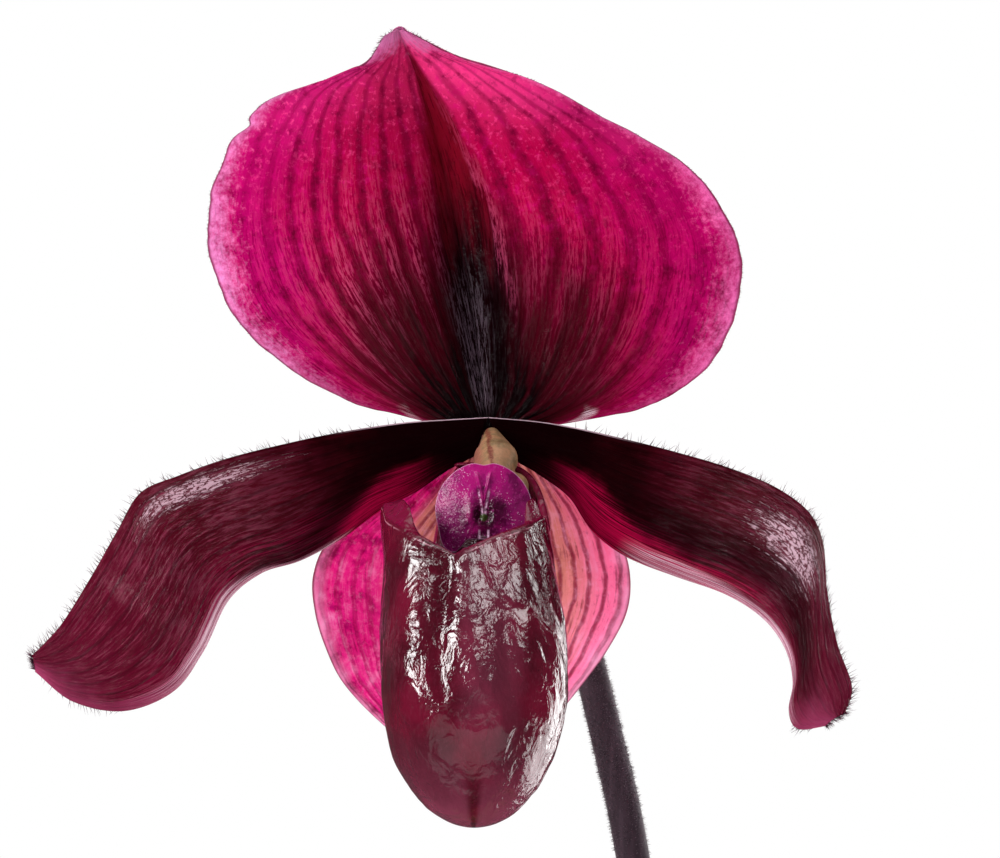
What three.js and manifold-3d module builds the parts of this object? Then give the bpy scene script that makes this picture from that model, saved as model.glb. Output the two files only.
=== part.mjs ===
// A potted slipper orchid in flower: one wine-red bloom on a tall stem, over two fans of strap leaves
// that stand in a plain clay pot of bark. Millimetres, +Z up. The bloom faces -Y, and the origin is the
// centre of the pot's foot.
import * as THREE from 'three';
import { mergeVertices } from 'three/addons/utils/BufferGeometryUtils.js';
import Module from 'manifold-3d';

const wasm = await Module();
wasm.setup();

// Driving dimensions.

const clear = 0.35; // between pieces that touch on the plant

const pot = {
  height: 95,
  footRadius: 36,
  shoulderRadius: 47.5,
  rimRadius: 54,
  rimHeight: 23,
  wall: 5,
  floor: 6,
  edge: 1.5, // rounding of the rim's edges
  drains: 3,
  drainRadius: 6.5,
  drainRing: 18,
  sides: 44,
};

const mix = {
  top: 83,
  chips: 36,
  chipSize: [13, 8.5, 9],
  chipShow: 2.2, // how far a chip's face lies above the top
  seed: 7,
};

// Each growth is a fan: leaves on two opposite sides, each folded round the ones inside it.
const fans = [
  {
    name: 'leaf',
    at: [0, -8],
    heading: -16, // degrees from +X, the side that the first leaf leans to
    core: 3.3, // half the width of the innermost fold
    hole: [13.5, 12.5],
    steps: 16,
    leaves: [
      { length: 118, half: 16.5, tip: -42, sheath: 12, drift: -20 },
      { length: 134, half: 18.5, tip: -36, sheath: 16, drift: 18 },
      { length: 150, half: 20.5, tip: -30, sheath: 21, drift: 17 },
      { length: 156, half: 21, tip: -24, sheath: 24.5, drift: -15 },
      { length: 138, half: 19.5, tip: -8, sheath: 31, drift: -5 },
      { length: 108, half: 14.5, tip: 20, sheath: 49, drift: 8 },
    ],
  },
  {
    name: 'young_leaf',
    at: [13, 25],
    heading: -30,
    core: 1.3,
    hole: [7.5, 6.8],
    steps: 12,
    leaves: [
      { length: 58, half: 9.5, tip: 12, sheath: 10, drift: 26 },
      { length: 74, half: 11.5, tip: 18, sheath: 14, drift: -24 },
      { length: 80, half: 12, tip: 30, sheath: 17, drift: 18 },
      { length: 58, half: 7.5, tip: 50, sheath: 32, drift: -10 },
    ],
  },
];

const leafRoot = 9; // how deep a leaf's foot stands in the mix
const leafThick = [0.65, 1.3]; // at the folded foot, and at the blade's midrib
const leafEdge = 0.7;

const hub = [-28, -33, 330]; // where the bloom's parts meet, at the top of the ovary

// The flower stem's centre line, from its foot in the mix to the bract.
const scapeRoute = [
  [0, -8, 74.5],
  [0.4, -7.4, 120],
  [0.8, -6, 175],
  [-2.2, -4, 230],
  [-9.2, -2, 274],
  [-12.4, -1.2, 289],
  [-15.6, -0.8, 302],
];
const scapeRadius = [2.45, 2.05];

const ovary = { endRadius: 3.4, neckRadius: 1.9, ribs: 6, ribDepth: 0.28 };

// Sections of the bloom's blades, in millimetres from the hub as the bloom is seen from the front: x to
// the right, z up. y is depth, larger further back.

// Dorsal sepal: left margin x z, midrib x z, right margin x z, then the depth of margin, shoulder and
// midrib.
const dorsal = [
  [-4.2, -0.4, 0, -0.6, 4.6, -0.6, 1.9, 1.9, 1.9],
  [-11, 1.4, -0.5, 4, 14.1, 1.1, 4.4, 1, 2.3],
  [-18.2, 3.4, -1.3, 10, 21, 2.8, 5, -0.5, 3],
  [-26.2, 8.3, -2.3, 17, 27.4, 7.2, 4, -1.8, 3.5],
  [-32, 14.2, -3.5, 23, 31, 13.8, 2.6, -2.6, 3.4],
  [-34.7, 21.5, -4.6, 28.5, 31.9, 20.5, 1.6, -3, 3.1],
  [-34.6, 28.4, -5.8, 33.5, 29.6, 26.6, 0.7, -3.1, 2.5],
  [-31.9, 34.8, -7.2, 38.5, 24.6, 32.6, -0.3, -3.2, 1.6],
  [-28, 40, -8.4, 42.4, 16, 37.6, -1.4, -3.4, 0.4],
  [-20.5, 42.9, -9.6, 45.6, 6, 42.8, -2.8, -3.7, -1],
  [-15.2, 45, -10.4, 47.6, -3.4, 45.8, -4.2, -4.2, -2.6],
  [-12.8, 48.4, -11, 49.4, -9.2, 48.6, -4.4, -4.4, -4],
];

// Petals: upper margin x z, lower edge x z, depth of the upper margin, middle and lower edge, and how far
// the lower margin rolls back behind that edge.
const leftPetal = [
  [-0.7, 0.9, -2.2, -3.9, 0.2, 0.1, 0.2, 0],
  [-5.6, 0.6, -5.6, -6, 0.4, -0.6, 0.3, 0],
  [-10.6, 0.2, -9.2, -8.4, 0.4, -1.8, -0.4, 0],
  [-17.8, -0.9, -13.6, -10.8, -0.6, -3.8, -1.8, 0],
  [-24.6, -2.3, -18, -14.2, -2.4, -5.8, -3.2, 0.6],
  [-32.2, -4.2, -22.8, -17.2, -4.6, -7.8, -5, 2.6],
  [-38.4, -6.4, -27.6, -18.9, -5.8, -9.4, -7.2, 4.4],
  [-43, -8.5, -31.6, -22.4, -6.4, -10.6, -9, 4.8],
  [-45.8, -13.2, -34.7, -28.8, -8, -11.8, -10, 4.2],
  [-48.8, -18.6, -38.4, -33.4, -10, -12.6, -10.6, 2.6],
  [-52.2, -24.2, -44.6, -35.3, -12.2, -13.2, -11.4, 0.4],
  [-54.4, -26.8, -50.8, -34, -13.4, -13.8, -12.8, 0],
  [-56, -28.4, -55.4, -30.2, -14, -14, -13.8, 0],
];
const rightPetal = [
  [0.9, 0.9, 2.6, -3.7, 0.2, 0.1, 0.2, 0],
  [6.2, 0.4, 6.6, -6.2, 0.4, -0.6, 0.3, 0],
  [11.4, -0.5, 10.4, -9, 0.3, -1.8, -0.4, 0],
  [17.9, -2, 13.2, -13.2, -0.8, -3.6, -1.6, 0],
  [24.1, -3.6, 17.6, -16.5, -2.4, -5.4, -2.8, 0],
  [30.4, -5.5, 23.4, -19.1, -4.2, -7.2, -4.4, 1.2],
  [36, -7.9, 29.6, -21.6, -5.4, -8.8, -6.4, 3.4],
  [40, -11, 34.2, -24.7, -6.2, -10, -8, 4.6],
  [41.6, -14.8, 36.9, -28.4, -7.2, -10.8, -9, 4.6],
  [42, -20.4, 37.9, -32.4, -8.8, -11.2, -9.4, 3.4],
  [43.2, -26.9, 37.4, -35.6, -10.6, -11.8, -9.8, 1.2],
  [45, -32.2, 38.4, -37.4, -11.6, -12.2, -10.8, 0],
  [44.2, -35.4, 41.6, -36.9, -12.2, -12.2, -11.6, 0],
];

// Synsepal: z, left margin x, right margin x, depth of the middle and of the margins.
const synsepal = [
  [-1.3, -3.4, 3.8, 1.9, 1.9],
  [-5.6, -8.4, 9, 2.6, 2.2],
  [-10, -14.4, 13.6, 3.6, 2.2],
  [-14.4, -19.8, 16.6, 4.4, 2.2],
  [-18.8, -21.8, 17.9, 4.9, 2.2],
  [-23.4, -21.6, 17.5, 5, 2.4],
  [-28, -20.2, 15.2, 4.6, 2.4],
  [-32.4, -18, 12, 3.8, 2.2],
  [-37, -13.6, 8.2, 2.6, 1.6],
  [-41.4, -8, 4, 1.2, 0.6],
  [-44.6, -2.6, 0.6, 0, -0.2],
];

const bladeThick = 1.1; // sepals and petals at their midribs
const bladeEdge = 0.65;

const pouch = {
  waist: -31, // z of the widest place, below which the bag rounds to its toe
  notch: -16, // z of the dip in the front rim
  notchTurn: -9, // degrees that the dip sits to the left
  earRise: 5,
  earTip: 1.2, // how far an ear's tip stands above its rim
  earTurn: 97, // degrees round from the front to an ear
  clawRise: 11,
  clawSpread: 17, // degrees
  wall: 0.9,
  lips: [2.6, 0.7], // how much further than the rest of the rim the left and right side lobes roll in
  lipRise: 0.035, // of the height
  sides: 34,
  rings: 9,
};
// z, middle x, half width, front wall y, back wall y
const pouchProfile = [
  [-49.2, -1.6, 11.5, -28.6, -12],
  [-40, -1.6, 11.5, -31, -10],
  [-31, -1.55, 11.5, -30.4, -9],
  [-24, -1.75, 11.25, -28, -8.4],
  [-16.5, -2.25, 10.55, -24.6, -6.4],
  [-11.6, -2.7, 10.4, -22.8, -3],
  [-5, -2.2, 10, -21.6, 0],
];

const shield = { centre: [-0.4, -11.4, -10.2], halfWidth: 6, halfHeight: 5.6, thick: 1.2, lean: 8 };

const colours = {
  clay: [0xb5654a, 0.85],
  bark: [0x5a3a26, 0.95],
  leaf: [0x3f6b2e, 0.45],
  youngLeaf: [0x5a8a3a, 0.45],
  scape: [0x3a2630, 0.8],
  bract: [0x6a7a3c, 0.6],
  ovary: [0x4a2a34, 0.7],
  dorsal: [0xb0105a, 0.4],
  petal: [0x6a0a2c, 0.35],
  synsepal: [0xd85a92, 0.5],
  pouch: [0x5c1028, 0.25],
  shield: [0x8a1a6a, 0.3],
  column: [0xa8805c, 0.5],
};

// Helpers.

const radians = THREE.MathUtils.degToRad;

function smooth(from, to, x) {
  return THREE.MathUtils.smoothstep(x, from, to);
}

// Repeatable draws from 0 to 1.
function drawsFrom(seed) {
  let state = seed;
  return () => {
    state = (state * 16807) % 2147483647;
    return state / 2147483647;
  };
}

// The value at u, from 0 to 1, of the smooth curve through evenly spaced values.
function valueAlong(values, u) {
  const curve = new THREE.CatmullRomCurve3(
    values.map((value) => new THREE.Vector3(value, 0, 0)),
    false,
    'catmullrom',
  );
  return curve.getPoint(u).x;
}

// A table's columns at u, each smoothed along the table.
function rowAlong(table, u) {
  return table[0].map((_, column) => valueAlong(table.map((row) => row[column]), u));
}

// A closed sheet round the grid of points, thick(u, v) through, both faces split into like triangles.
function sheetGeometry(pointAt, thickAt, uSteps, vSteps) {
  const grid = [];
  for (let i = 0; i <= uSteps; i++) {
    grid.push([]);
    for (let j = 0; j <= vSteps; j++) grid[i].push(pointAt(i / uSteps, j / vSteps));
  }
  const positions = [];
  for (const side of [0.5, -0.5]) {
    for (let i = 0; i <= uSteps; i++) {
      for (let j = 0; j <= vSteps; j++) {
        const along = grid[Math.min(i + 1, uSteps)][j].clone().sub(grid[Math.max(i - 1, 0)][j]);
        const across = grid[i][Math.min(j + 1, vSteps)].clone().sub(grid[i][Math.max(j - 1, 0)]);
        const normal = along.cross(across).normalize();
        const point = grid[i][j].clone().addScaledVector(normal, side * thickAt(i / uSteps, j / vSteps));
        positions.push(point.x, point.y, point.z);
      }
    }
  }
  const perFace = (uSteps + 1) * (vSteps + 1);
  const at = (i, j) => i * (vSteps + 1) + j;
  const index = [];
  for (let i = 0; i < uSteps; i++) {
    for (let j = 0; j < vSteps; j++) {
      const [a, b, c, d] = [at(i, j), at(i + 1, j), at(i + 1, j + 1), at(i, j + 1)];
      index.push(a, b, c, a, c, d);
      index.push(a + perFace, c + perFace, b + perFace, a + perFace, d + perFace, c + perFace);
    }
  }
  const rim = [];
  for (let i = 0; i < uSteps; i++) rim.push(at(i, 0));
  for (let j = 0; j < vSteps; j++) rim.push(at(uSteps, j));
  for (let i = uSteps; i > 0; i--) rim.push(at(i, vSteps));
  for (let j = vSteps; j > 0; j--) rim.push(at(0, j));
  rim.forEach((p, k) => {
    const q = rim[(k + 1) % rim.length];
    index.push(q, p, p + perFace, q, p + perFace, q + perFace);
  });
  const geometry = new THREE.BufferGeometry();
  geometry.setAttribute('position', new THREE.Float32BufferAttribute(positions, 3));
  geometry.setIndex(index);
  return geometry;
}

// A round bar along a curve, with a radius for each place and turn, closed at both ends.
function barGeometry(curve, radiusAt, sides, steps) {
  const frames = curve.computeFrenetFrames(steps, false);
  const positions = [];
  for (let i = 0; i <= steps; i++) {
    const centre = curve.getPointAt(i / steps);
    for (let k = 0; k < sides; k++) {
      const turn = (k / sides) * 2 * Math.PI;
      const radius = radiusAt(i / steps, turn);
      const point = centre
        .clone()
        .addScaledVector(frames.normals[i], radius * Math.cos(turn))
        .addScaledVector(frames.binormals[i], radius * Math.sin(turn));
      positions.push(point.x, point.y, point.z);
    }
  }
  const start = curve.getPointAt(0);
  const end = curve.getPointAt(1);
  positions.push(start.x, start.y, start.z, end.x, end.y, end.z);
  const first = (steps + 1) * sides;
  const index = [];
  for (let k = 0; k < sides; k++) {
    const next = (k + 1) % sides;
    for (let i = 0; i < steps; i++) {
      const [a, b] = [i * sides + k, i * sides + next];
      index.push(a, b, b + sides, a, b + sides, a + sides);
    }
    index.push(first, next, k);
    index.push(first + 1, steps * sides + k, steps * sides + next);
  }
  const geometry = new THREE.BufferGeometry();
  geometry.setAttribute('position', new THREE.Float32BufferAttribute(positions, 3));
  geometry.setIndex(index);
  return geometry;
}

function solidOf(geometry) {
  const bare = geometry.clone();
  bare.deleteAttribute('normal');
  bare.deleteAttribute('uv');
  const merged = mergeVertices(bare, 1e-3);
  return new wasm.Manifold(
    new wasm.Mesh({
      numProp: 3,
      vertProperties: merged.attributes.position.array,
      triVerts: new Uint32Array(merged.index.array),
    }),
  );
}

function geometryOf(solid) {
  const mesh = solid.getMesh();
  const geometry = new THREE.BufferGeometry();
  geometry.setAttribute('position', new THREE.BufferAttribute(mesh.vertProperties, 3));
  geometry.setIndex(new THREE.BufferAttribute(mesh.triVerts, 1));
  return geometry;
}

function piece(name, geometry, colour) {
  const [hex, roughness] = colour;
  const material = new THREE.MeshStandardMaterial({ color: hex, roughness, metalness: 0 });
  const mesh = new THREE.Mesh(geometry, material);
  mesh.name = name;
  return mesh;
}

// Stands a lathe's profile, made about Y, up along Z.
function turned(profile, sides) {
  const points = profile.map(([radius, z]) => new THREE.Vector2(radius, z));
  return new THREE.LatheGeometry(points, sides).rotateX(Math.PI / 2);
}

// The pot and the bark in it.

function innerRadiusAt(z) {
  const taper = (pot.shoulderRadius - pot.footRadius) / (pot.height - pot.rimHeight);
  return pot.footRadius + z * taper - pot.wall;
}

function potGeometry() {
  const band = pot.height - pot.rimHeight;
  const profile = [
    [0, 0],
    [pot.footRadius - pot.edge, 0],
    [pot.footRadius, pot.edge],
    [pot.shoulderRadius, band],
    [pot.rimRadius - pot.edge, band],
    [pot.rimRadius, band + pot.edge],
    [pot.rimRadius, pot.height - pot.edge],
    [pot.rimRadius - pot.edge, pot.height],
    [innerRadiusAt(pot.height) + pot.edge, pot.height],
    [innerRadiusAt(pot.height), pot.height - pot.edge],
    [innerRadiusAt(pot.floor), pot.floor],
    [0, pot.floor],
  ];
  let body = solidOf(turned(profile, pot.sides));
  for (let k = 0; k < pot.drains; k++) {
    const turn = ((k + 0.5) / pot.drains) * 2 * Math.PI;
    const drill = new THREE.CylinderGeometry(pot.drainRadius, pot.drainRadius, 4 * pot.floor, 24);
    drill.rotateX(Math.PI / 2);
    drill.translate(pot.drainRing * Math.cos(turn), pot.drainRing * Math.sin(turn), 0);
    body = body.subtract(solidOf(drill));
  }
  return geometryOf(body);
}

// Bark chips lie on the mix in a sunflower spiral, each turned and tipped by a seeded draw, and are fused
// to it.
function mixGeometry() {
  const draw = drawsFrom(mix.seed);
  const bottom = pot.floor + clear;
  const profile = [
    [0, bottom],
    [innerRadiusAt(bottom) - clear, bottom],
    [innerRadiusAt(mix.top) - clear, mix.top],
    [0, mix.top],
  ];
  let body = solidOf(turned(profile, pot.sides));
  const reach = innerRadiusAt(mix.top) - clear - mix.chipSize[0] * 0.87;
  const spiralTurn = Math.PI * (3 - Math.sqrt(5));
  for (let k = 0; k < mix.chips; k++) {
    const radius = reach * Math.sqrt((k + 0.5) / mix.chips);
    const grow = 0.75 + 0.5 * draw();
    const [long, wide, deep] = mix.chipSize;
    const chip = new THREE.CylinderGeometry(0.6, 0.8, deep, 4).rotateX(Math.PI / 2).rotateZ(Math.PI / 4);
    chip.scale(long * grow, wide * grow, 1);
    chip.rotateX((draw() - 0.5) * 0.36);
    chip.rotateY((draw() - 0.5) * 0.3);
    chip.rotateZ(draw() * Math.PI);
    chip.translate(radius * Math.cos(k * spiralTurn), radius * Math.sin(k * spiralTurn), 0);
    chip.translate(0, 0, mix.top + mix.chipShow * (0.5 + 0.5 * draw()) - deep / 2);
    body = body.add(solidOf(chip));
  }
  for (const fan of fans) {
    const hole = new THREE.CylinderGeometry(1, 1, 4 * leafRoot, 20).rotateX(Math.PI / 2);
    hole.scale(fan.hole[0], fan.hole[1], 1);
    hole.rotateZ(radians(fan.heading));
    hole.translate(fan.at[0], fan.at[1], mix.top - leafRoot - clear + 2 * leafRoot);
    body = body.subtract(solidOf(hole));
  }
  return geometryOf(body);
}

// Leaves. A leaf's spine rises straight through its sheath and then arches over. Across, each half turns
// up round a fold: a full quarter turn in the sheath, and a shallow keel in the blade.

function leafSpine(leaf, foot, heading) {
  const pieces = 40;
  const stride = leaf.length / pieces;
  const points = [foot.clone()];
  for (let k = 0; k < pieces; k++) {
    const gone = (k + 0.5) * stride;
    const outside = (gone - leaf.sheath * 0.8) / (leaf.length - leaf.sheath);
    const arch = Math.pow(THREE.MathUtils.clamp(outside, 0, 1), 0.75);
    const rise = radians(THREE.MathUtils.lerp(89, leaf.tip, arch));
    const bearing = heading + radians(leaf.drift) * smooth(0.1, 1, gone / leaf.length);
    const level = new THREE.Vector3(Math.cos(bearing), Math.sin(bearing), 0).multiplyScalar(Math.cos(rise));
    const direction = level.setZ(Math.sin(rise));
    points.push(points[k].clone().addScaledVector(direction, stride));
  }
  return new THREE.CatmullRomCurve3(points, false, 'catmullrom');
}

function leafSheet(leaf, foot, heading, foldRadius, footHalf, steps, halfSteps) {
  const spine = leafSpine(leaf, foot, heading);
  const sideways = new THREE.Vector3(-Math.sin(heading), Math.cos(heading), 0);
  const foldEnd = leaf.sheath / leaf.length;
  const halfAt = (u) => {
    const place = THREE.MathUtils.clamp(u, 0, 1);
    const blade = leaf.half * Math.sqrt(Math.sin(Math.PI * Math.pow(place, 0.8)));
    const wide = Math.max(blade, footHalf * (1 - u));
    const opened = THREE.MathUtils.lerp(footHalf, wide, smooth(0.5 * foldEnd, 0.5, u));
    return Math.max(opened * Math.sqrt(THREE.MathUtils.clamp((1 - u) / 0.13, 0, 1)), 0.8);
  };
  const pointAt = (u, v) => {
    const tangent = spine.getTangent(u);
    const across = sideways.clone().addScaledVector(tangent, -sideways.dot(tangent)).normalize();
    const inward = tangent.clone().cross(across);
    const open = smooth(0.7 * foldEnd, foldEnd + 0.22, u);
    const turn = radians(THREE.MathUtils.lerp(90, 17, open));
    const bend = THREE.MathUtils.lerp(foldRadius, 4.5, open);
    const droop = radians(24) * open;
    const side = v < 0.5 ? -1 : 1;
    const share = Math.abs(2 * v - 1);
    const half = halfAt(u);
    const parts = 12;
    let [out, lift] = [0, 0];
    for (let k = 0; k < parts; k++) {
      const gone = ((k + 0.5) / parts) * share;
      const lean = turn * Math.min((gone * half) / (bend * turn), 1) - droop * gone * gone;
      out += (Math.cos(lean) * share * half) / parts;
      lift += (Math.sin(lean) * share * half) / parts;
    }
    return spine.getPoint(u).addScaledVector(across, side * out).addScaledVector(inward, lift);
  };
  const thickAt = (u, v) => {
    const open = smooth(0.7 * foldEnd, foldEnd + 0.2, u);
    const middle = THREE.MathUtils.lerp(leafThick[0], leafThick[1], open) * (1 - 0.35 * u);
    return Math.max(THREE.MathUtils.lerp(middle, leafEdge, Math.abs(2 * v - 1)), leafThick[0]);
  };
  return sheetGeometry(pointAt, thickAt, steps, 2 * halfSteps);
}

function fanOfLeaves(fan) {
  const count = fan.leaves.length;
  const step = leafThick[0] + clear + 0.1;
  return fan.leaves.map((leaf, k) => {
    const inside = count - 1 - k;
    const foldRadius = fan.core + inside * step;
    const heading = radians(fan.heading) + (k % 2) * Math.PI;
    const back = foldRadius + 0.25 * inside;
    const foot = new THREE.Vector3(fan.at[0], fan.at[1], mix.top - leafRoot);
    foot.add(new THREE.Vector3(Math.cos(heading), Math.sin(heading), 0).multiplyScalar(back));
    const footHalf = (foldRadius * Math.PI) / 2 + 1.2;
    const geometry = leafSheet(leaf, foot, heading, foldRadius, footHalf, fan.steps, 3);
    const colour = fan.name === 'leaf' ? colours.leaf : colours.youngLeaf;
    return piece(`${fan.name}_${k + 1}`, geometry, colour);
  });
}

// The stem, the bract and the ovary.

function scapeGeometry() {
  const points = scapeRoute.map((p) => new THREE.Vector3(...p));
  const curve = new THREE.CatmullRomCurve3(points, false, 'catmullrom');
  const radiusAt = (t) => THREE.MathUtils.lerp(scapeRadius[0], scapeRadius[1], t);
  return barGeometry(curve, radiusAt, 10, 26);
}

function ovaryCurve() {
  const top = new THREE.Vector3(...scapeRoute.at(-1));
  const below = new THREE.Vector3(...scapeRoute.at(-2));
  const rising = top.clone().sub(below).normalize();
  const start = top.clone().addScaledVector(rising, clear);
  const end = new THREE.Vector3(...hub).add(new THREE.Vector3(0, 3.05 + clear, -1));
  const knee = end.clone().add(new THREE.Vector3(1.2, 13, -0.5));
  return new THREE.CubicBezierCurve3(start, start.clone().addScaledVector(rising, 14), knee, end);
}

function ovaryGeometry() {
  const radiusAt = (t, turn) => {
    const swell = THREE.MathUtils.lerp(ovary.neckRadius, ovary.endRadius, smooth(0.05, 1, t));
    return swell + ovary.ribDepth * Math.cos(ovary.ribs * turn) * smooth(0.1, 0.4, t);
  };
  return barGeometry(ovaryCurve(), radiusAt, 12, 14);
}

// The bract clasps the foot of the ovary from behind.
function bractGeometry() {
  const curve = ovaryCurve();
  const sideways = new THREE.Vector3(1, 0, 0);
  const pointAt = (u, v) => {
    const t = u * 0.5;
    const tangent = curve.getTangentAt(t);
    const across = sideways.clone().addScaledVector(tangent, -sideways.dot(tangent)).normalize();
    const behind = across.clone().cross(tangent).negate();
    const hug = ovary.neckRadius + clear + 0.75 + 2.2 * smooth(0.35, 1, u) + 0.3 * u;
    const wrap = radians(150) * Math.pow(1 - u, 0.45) * (2 * v - 1) + 0.12 * (2 * v - 1);
    return curve
      .getPointAt(t)
      .addScaledVector(behind, hug * Math.cos(wrap))
      .addScaledVector(across, hug * Math.sin(wrap));
  };
  return sheetGeometry(pointAt, () => 0.7, 10, 8);
}

// The bloom.

function bladeThickness(v, thick, edge) {
  return THREE.MathUtils.lerp(thick, edge, Math.pow(Math.abs(2 * v - 1), 2));
}

// From the crease at the midrib the sepal comes forward to its shoulders and falls back to its margins.
function dorsalGeometry() {
  const shoulderAt = 0.42;
  const pointAt = (u, v) => {
    const [lx, lz, mx, mz, rx, rz, edge, shoulder, crease] = rowAlong(dorsal, u);
    const side = 2 * v - 1;
    const share = Math.abs(side);
    const [ex, ez] = side < 0 ? [lx, lz] : [rx, rz];
    const rise = Math.sin((Math.min(share / shoulderAt, 1) * Math.PI) / 2);
    const fall = Math.pow(Math.max(share - shoulderAt, 0) / (1 - shoulderAt), 2);
    const depth = crease + (shoulder - crease) * rise + (edge - shoulder) * fall;
    const [x, z] = [THREE.MathUtils.lerp(mx, ex, share), THREE.MathUtils.lerp(mz, ez, share)];
    return new THREE.Vector3(x, depth, z);
  };
  return sheetGeometry(pointAt, (u, v) => bladeThickness(v, bladeThick, bladeEdge), 20, 16);
}

function petalGeometry(table) {
  const pointAt = (u, v) => {
    const [ux, uz, lx, lz, upper, middle, lower, roll] = rowAlong(table, u);
    const on = (share, depth) =>
      new THREE.Vector3(THREE.MathUtils.lerp(ux, lx, share), depth, THREE.MathUtils.lerp(uz, lz, share));
    const rolled = Math.min(roll / 4, 1);
    const section = [
      on(0, upper),
      on(0.25, THREE.MathUtils.lerp(upper, middle, 0.72)),
      on(0.52, middle),
      on(0.78, THREE.MathUtils.lerp(lower, middle, 0.62)),
      on(0.96 - 0.02 * rolled, THREE.MathUtils.lerp(lower, middle, 0.1)),
      on(1 - 0.2 * rolled, lower + roll),
    ];
    return new THREE.CatmullRomCurve3(section, false, 'catmullrom').getPoint(v);
  };
  return sheetGeometry(pointAt, (u, v) => bladeThickness(v, bladeThick * 0.9, bladeEdge), 18, 10);
}

function synsepalGeometry() {
  const pointAt = (u, v) => {
    const [z, lx, rx, middle, edge] = rowAlong(synsepal, u);
    const side = 2 * v - 1;
    const depth = THREE.MathUtils.lerp(middle, edge, side * side);
    return new THREE.Vector3(THREE.MathUtils.lerp(lx, rx, v), depth, z);
  };
  return sheetGeometry(pointAt, (u, v) => bladeThickness(v, bladeThick, bladeEdge), 12, 10);
}

// The slipper is a bag closed at the toe. Turn 0 is its front. The rim dips at the front, stands up in an
// ear each side, where the side lobes roll in, and runs up at the back as the claw.
function pouchPoint(turn, climb, inset) {
  const fromNotch = turn - radians(pouch.notchTurn);
  const fromBack = Math.abs(Math.abs(turn) - Math.PI);
  const behindEar = smooth(radians(pouch.earTurn + 4), radians(pouch.earTurn + 38), Math.abs(turn));
  const tip = pouch.earTip * Math.exp(-Math.pow((Math.abs(turn) - radians(pouch.earTurn)) / 0.22, 2));
  const ears = (tip + pouch.earRise * Math.pow(Math.abs(Math.sin(fromNotch)), 1.1)) * (1 - behindEar);
  const claw = pouch.clawRise * Math.exp(-Math.pow(fromBack / radians(pouch.clawSpread), 2));
  const toe = pouchProfile[0][0];
  const z = THREE.MathUtils.lerp(toe, pouch.notch + ears + claw, climb);
  const last = pouchProfile.length - 1;
  const above = THREE.MathUtils.clamp(pouchProfile.findIndex((row) => z < row[0]), 1, last);
  const [low, high] = [pouchProfile[above - 1][0], pouchProfile[above][0]];
  const share = (z - low) / (high - low);
  const [, middle, half, front, back] = rowAlong(pouchProfile, (above - 1 + share) / last);
  const drop = Math.max((pouch.waist - z) / (pouch.waist - toe), 0);
  const close = Math.sqrt(Math.max(1 - drop * drop, 0));
  const acrossHalf = Math.max(half * close - inset, 0);
  const deepHalf = Math.max(((back - front) / 2) * Math.pow(close, 0.75) - inset, 0);
  return new THREE.Vector3(
    middle + acrossHalf * Math.sin(turn),
    (front + back) / 2 - deepHalf * Math.cos(turn),
    z + inset * (1 - climb),
  );
}

function pouchGeometry() {
  const climbAt = (k) => 1 - Math.cos(((k / pouch.rings) * Math.PI) / 2);
  const positions = [];
  for (let k = 0; k < pouch.sides; k++) {
    const turn = ((k + 0.5) / pouch.sides) * 2 * Math.PI - Math.PI;
    const rolled = Math.exp(-Math.pow((Math.abs(turn) - radians(pouch.earTurn - 14)) / radians(36), 2));
    const lip = pouch.wall + pouch.lips[turn < 0 ? 0 : 1] * rolled;
    const rise = pouch.lipRise * rolled;
    const section = [];
    for (let i = 1; i <= pouch.rings; i++) section.push([climbAt(i), 0]);
    section.push([1.005, pouch.wall / 2]);
    section.push([1 + rise, lip]);
    section.push([0.982 + rise, lip]);
    section.push([0.97, pouch.wall]);
    for (let i = pouch.rings - 1; i > 0; i--) section.push([climbAt(i), pouch.wall]);
    for (const [climb, inset] of section) positions.push(...pouchPoint(turn, climb, inset));
  }
  const rings = positions.length / 3 / pouch.sides;
  const toe = pouchPoint(0, 0, 0);
  positions.push(...toe, toe.x, toe.y, toe.z + pouch.wall);
  const end = rings * pouch.sides;
  const index = [];
  for (let k = 0; k < pouch.sides; k++) {
    const next = ((k + 1) % pouch.sides) * rings;
    const here = k * rings;
    for (let i = 0; i < rings - 1; i++) {
      index.push(here + i, next + i, next + i + 1, here + i, next + i + 1, here + i + 1);
    }
    index.push(end, next, here);
    index.push(end + 1, here + rings - 1, next + rings - 1);
  }
  const geometry = new THREE.BufferGeometry();
  geometry.setAttribute('position', new THREE.Float32BufferAttribute(positions, 3));
  geometry.setIndex(index);
  return geometry;
}

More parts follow.
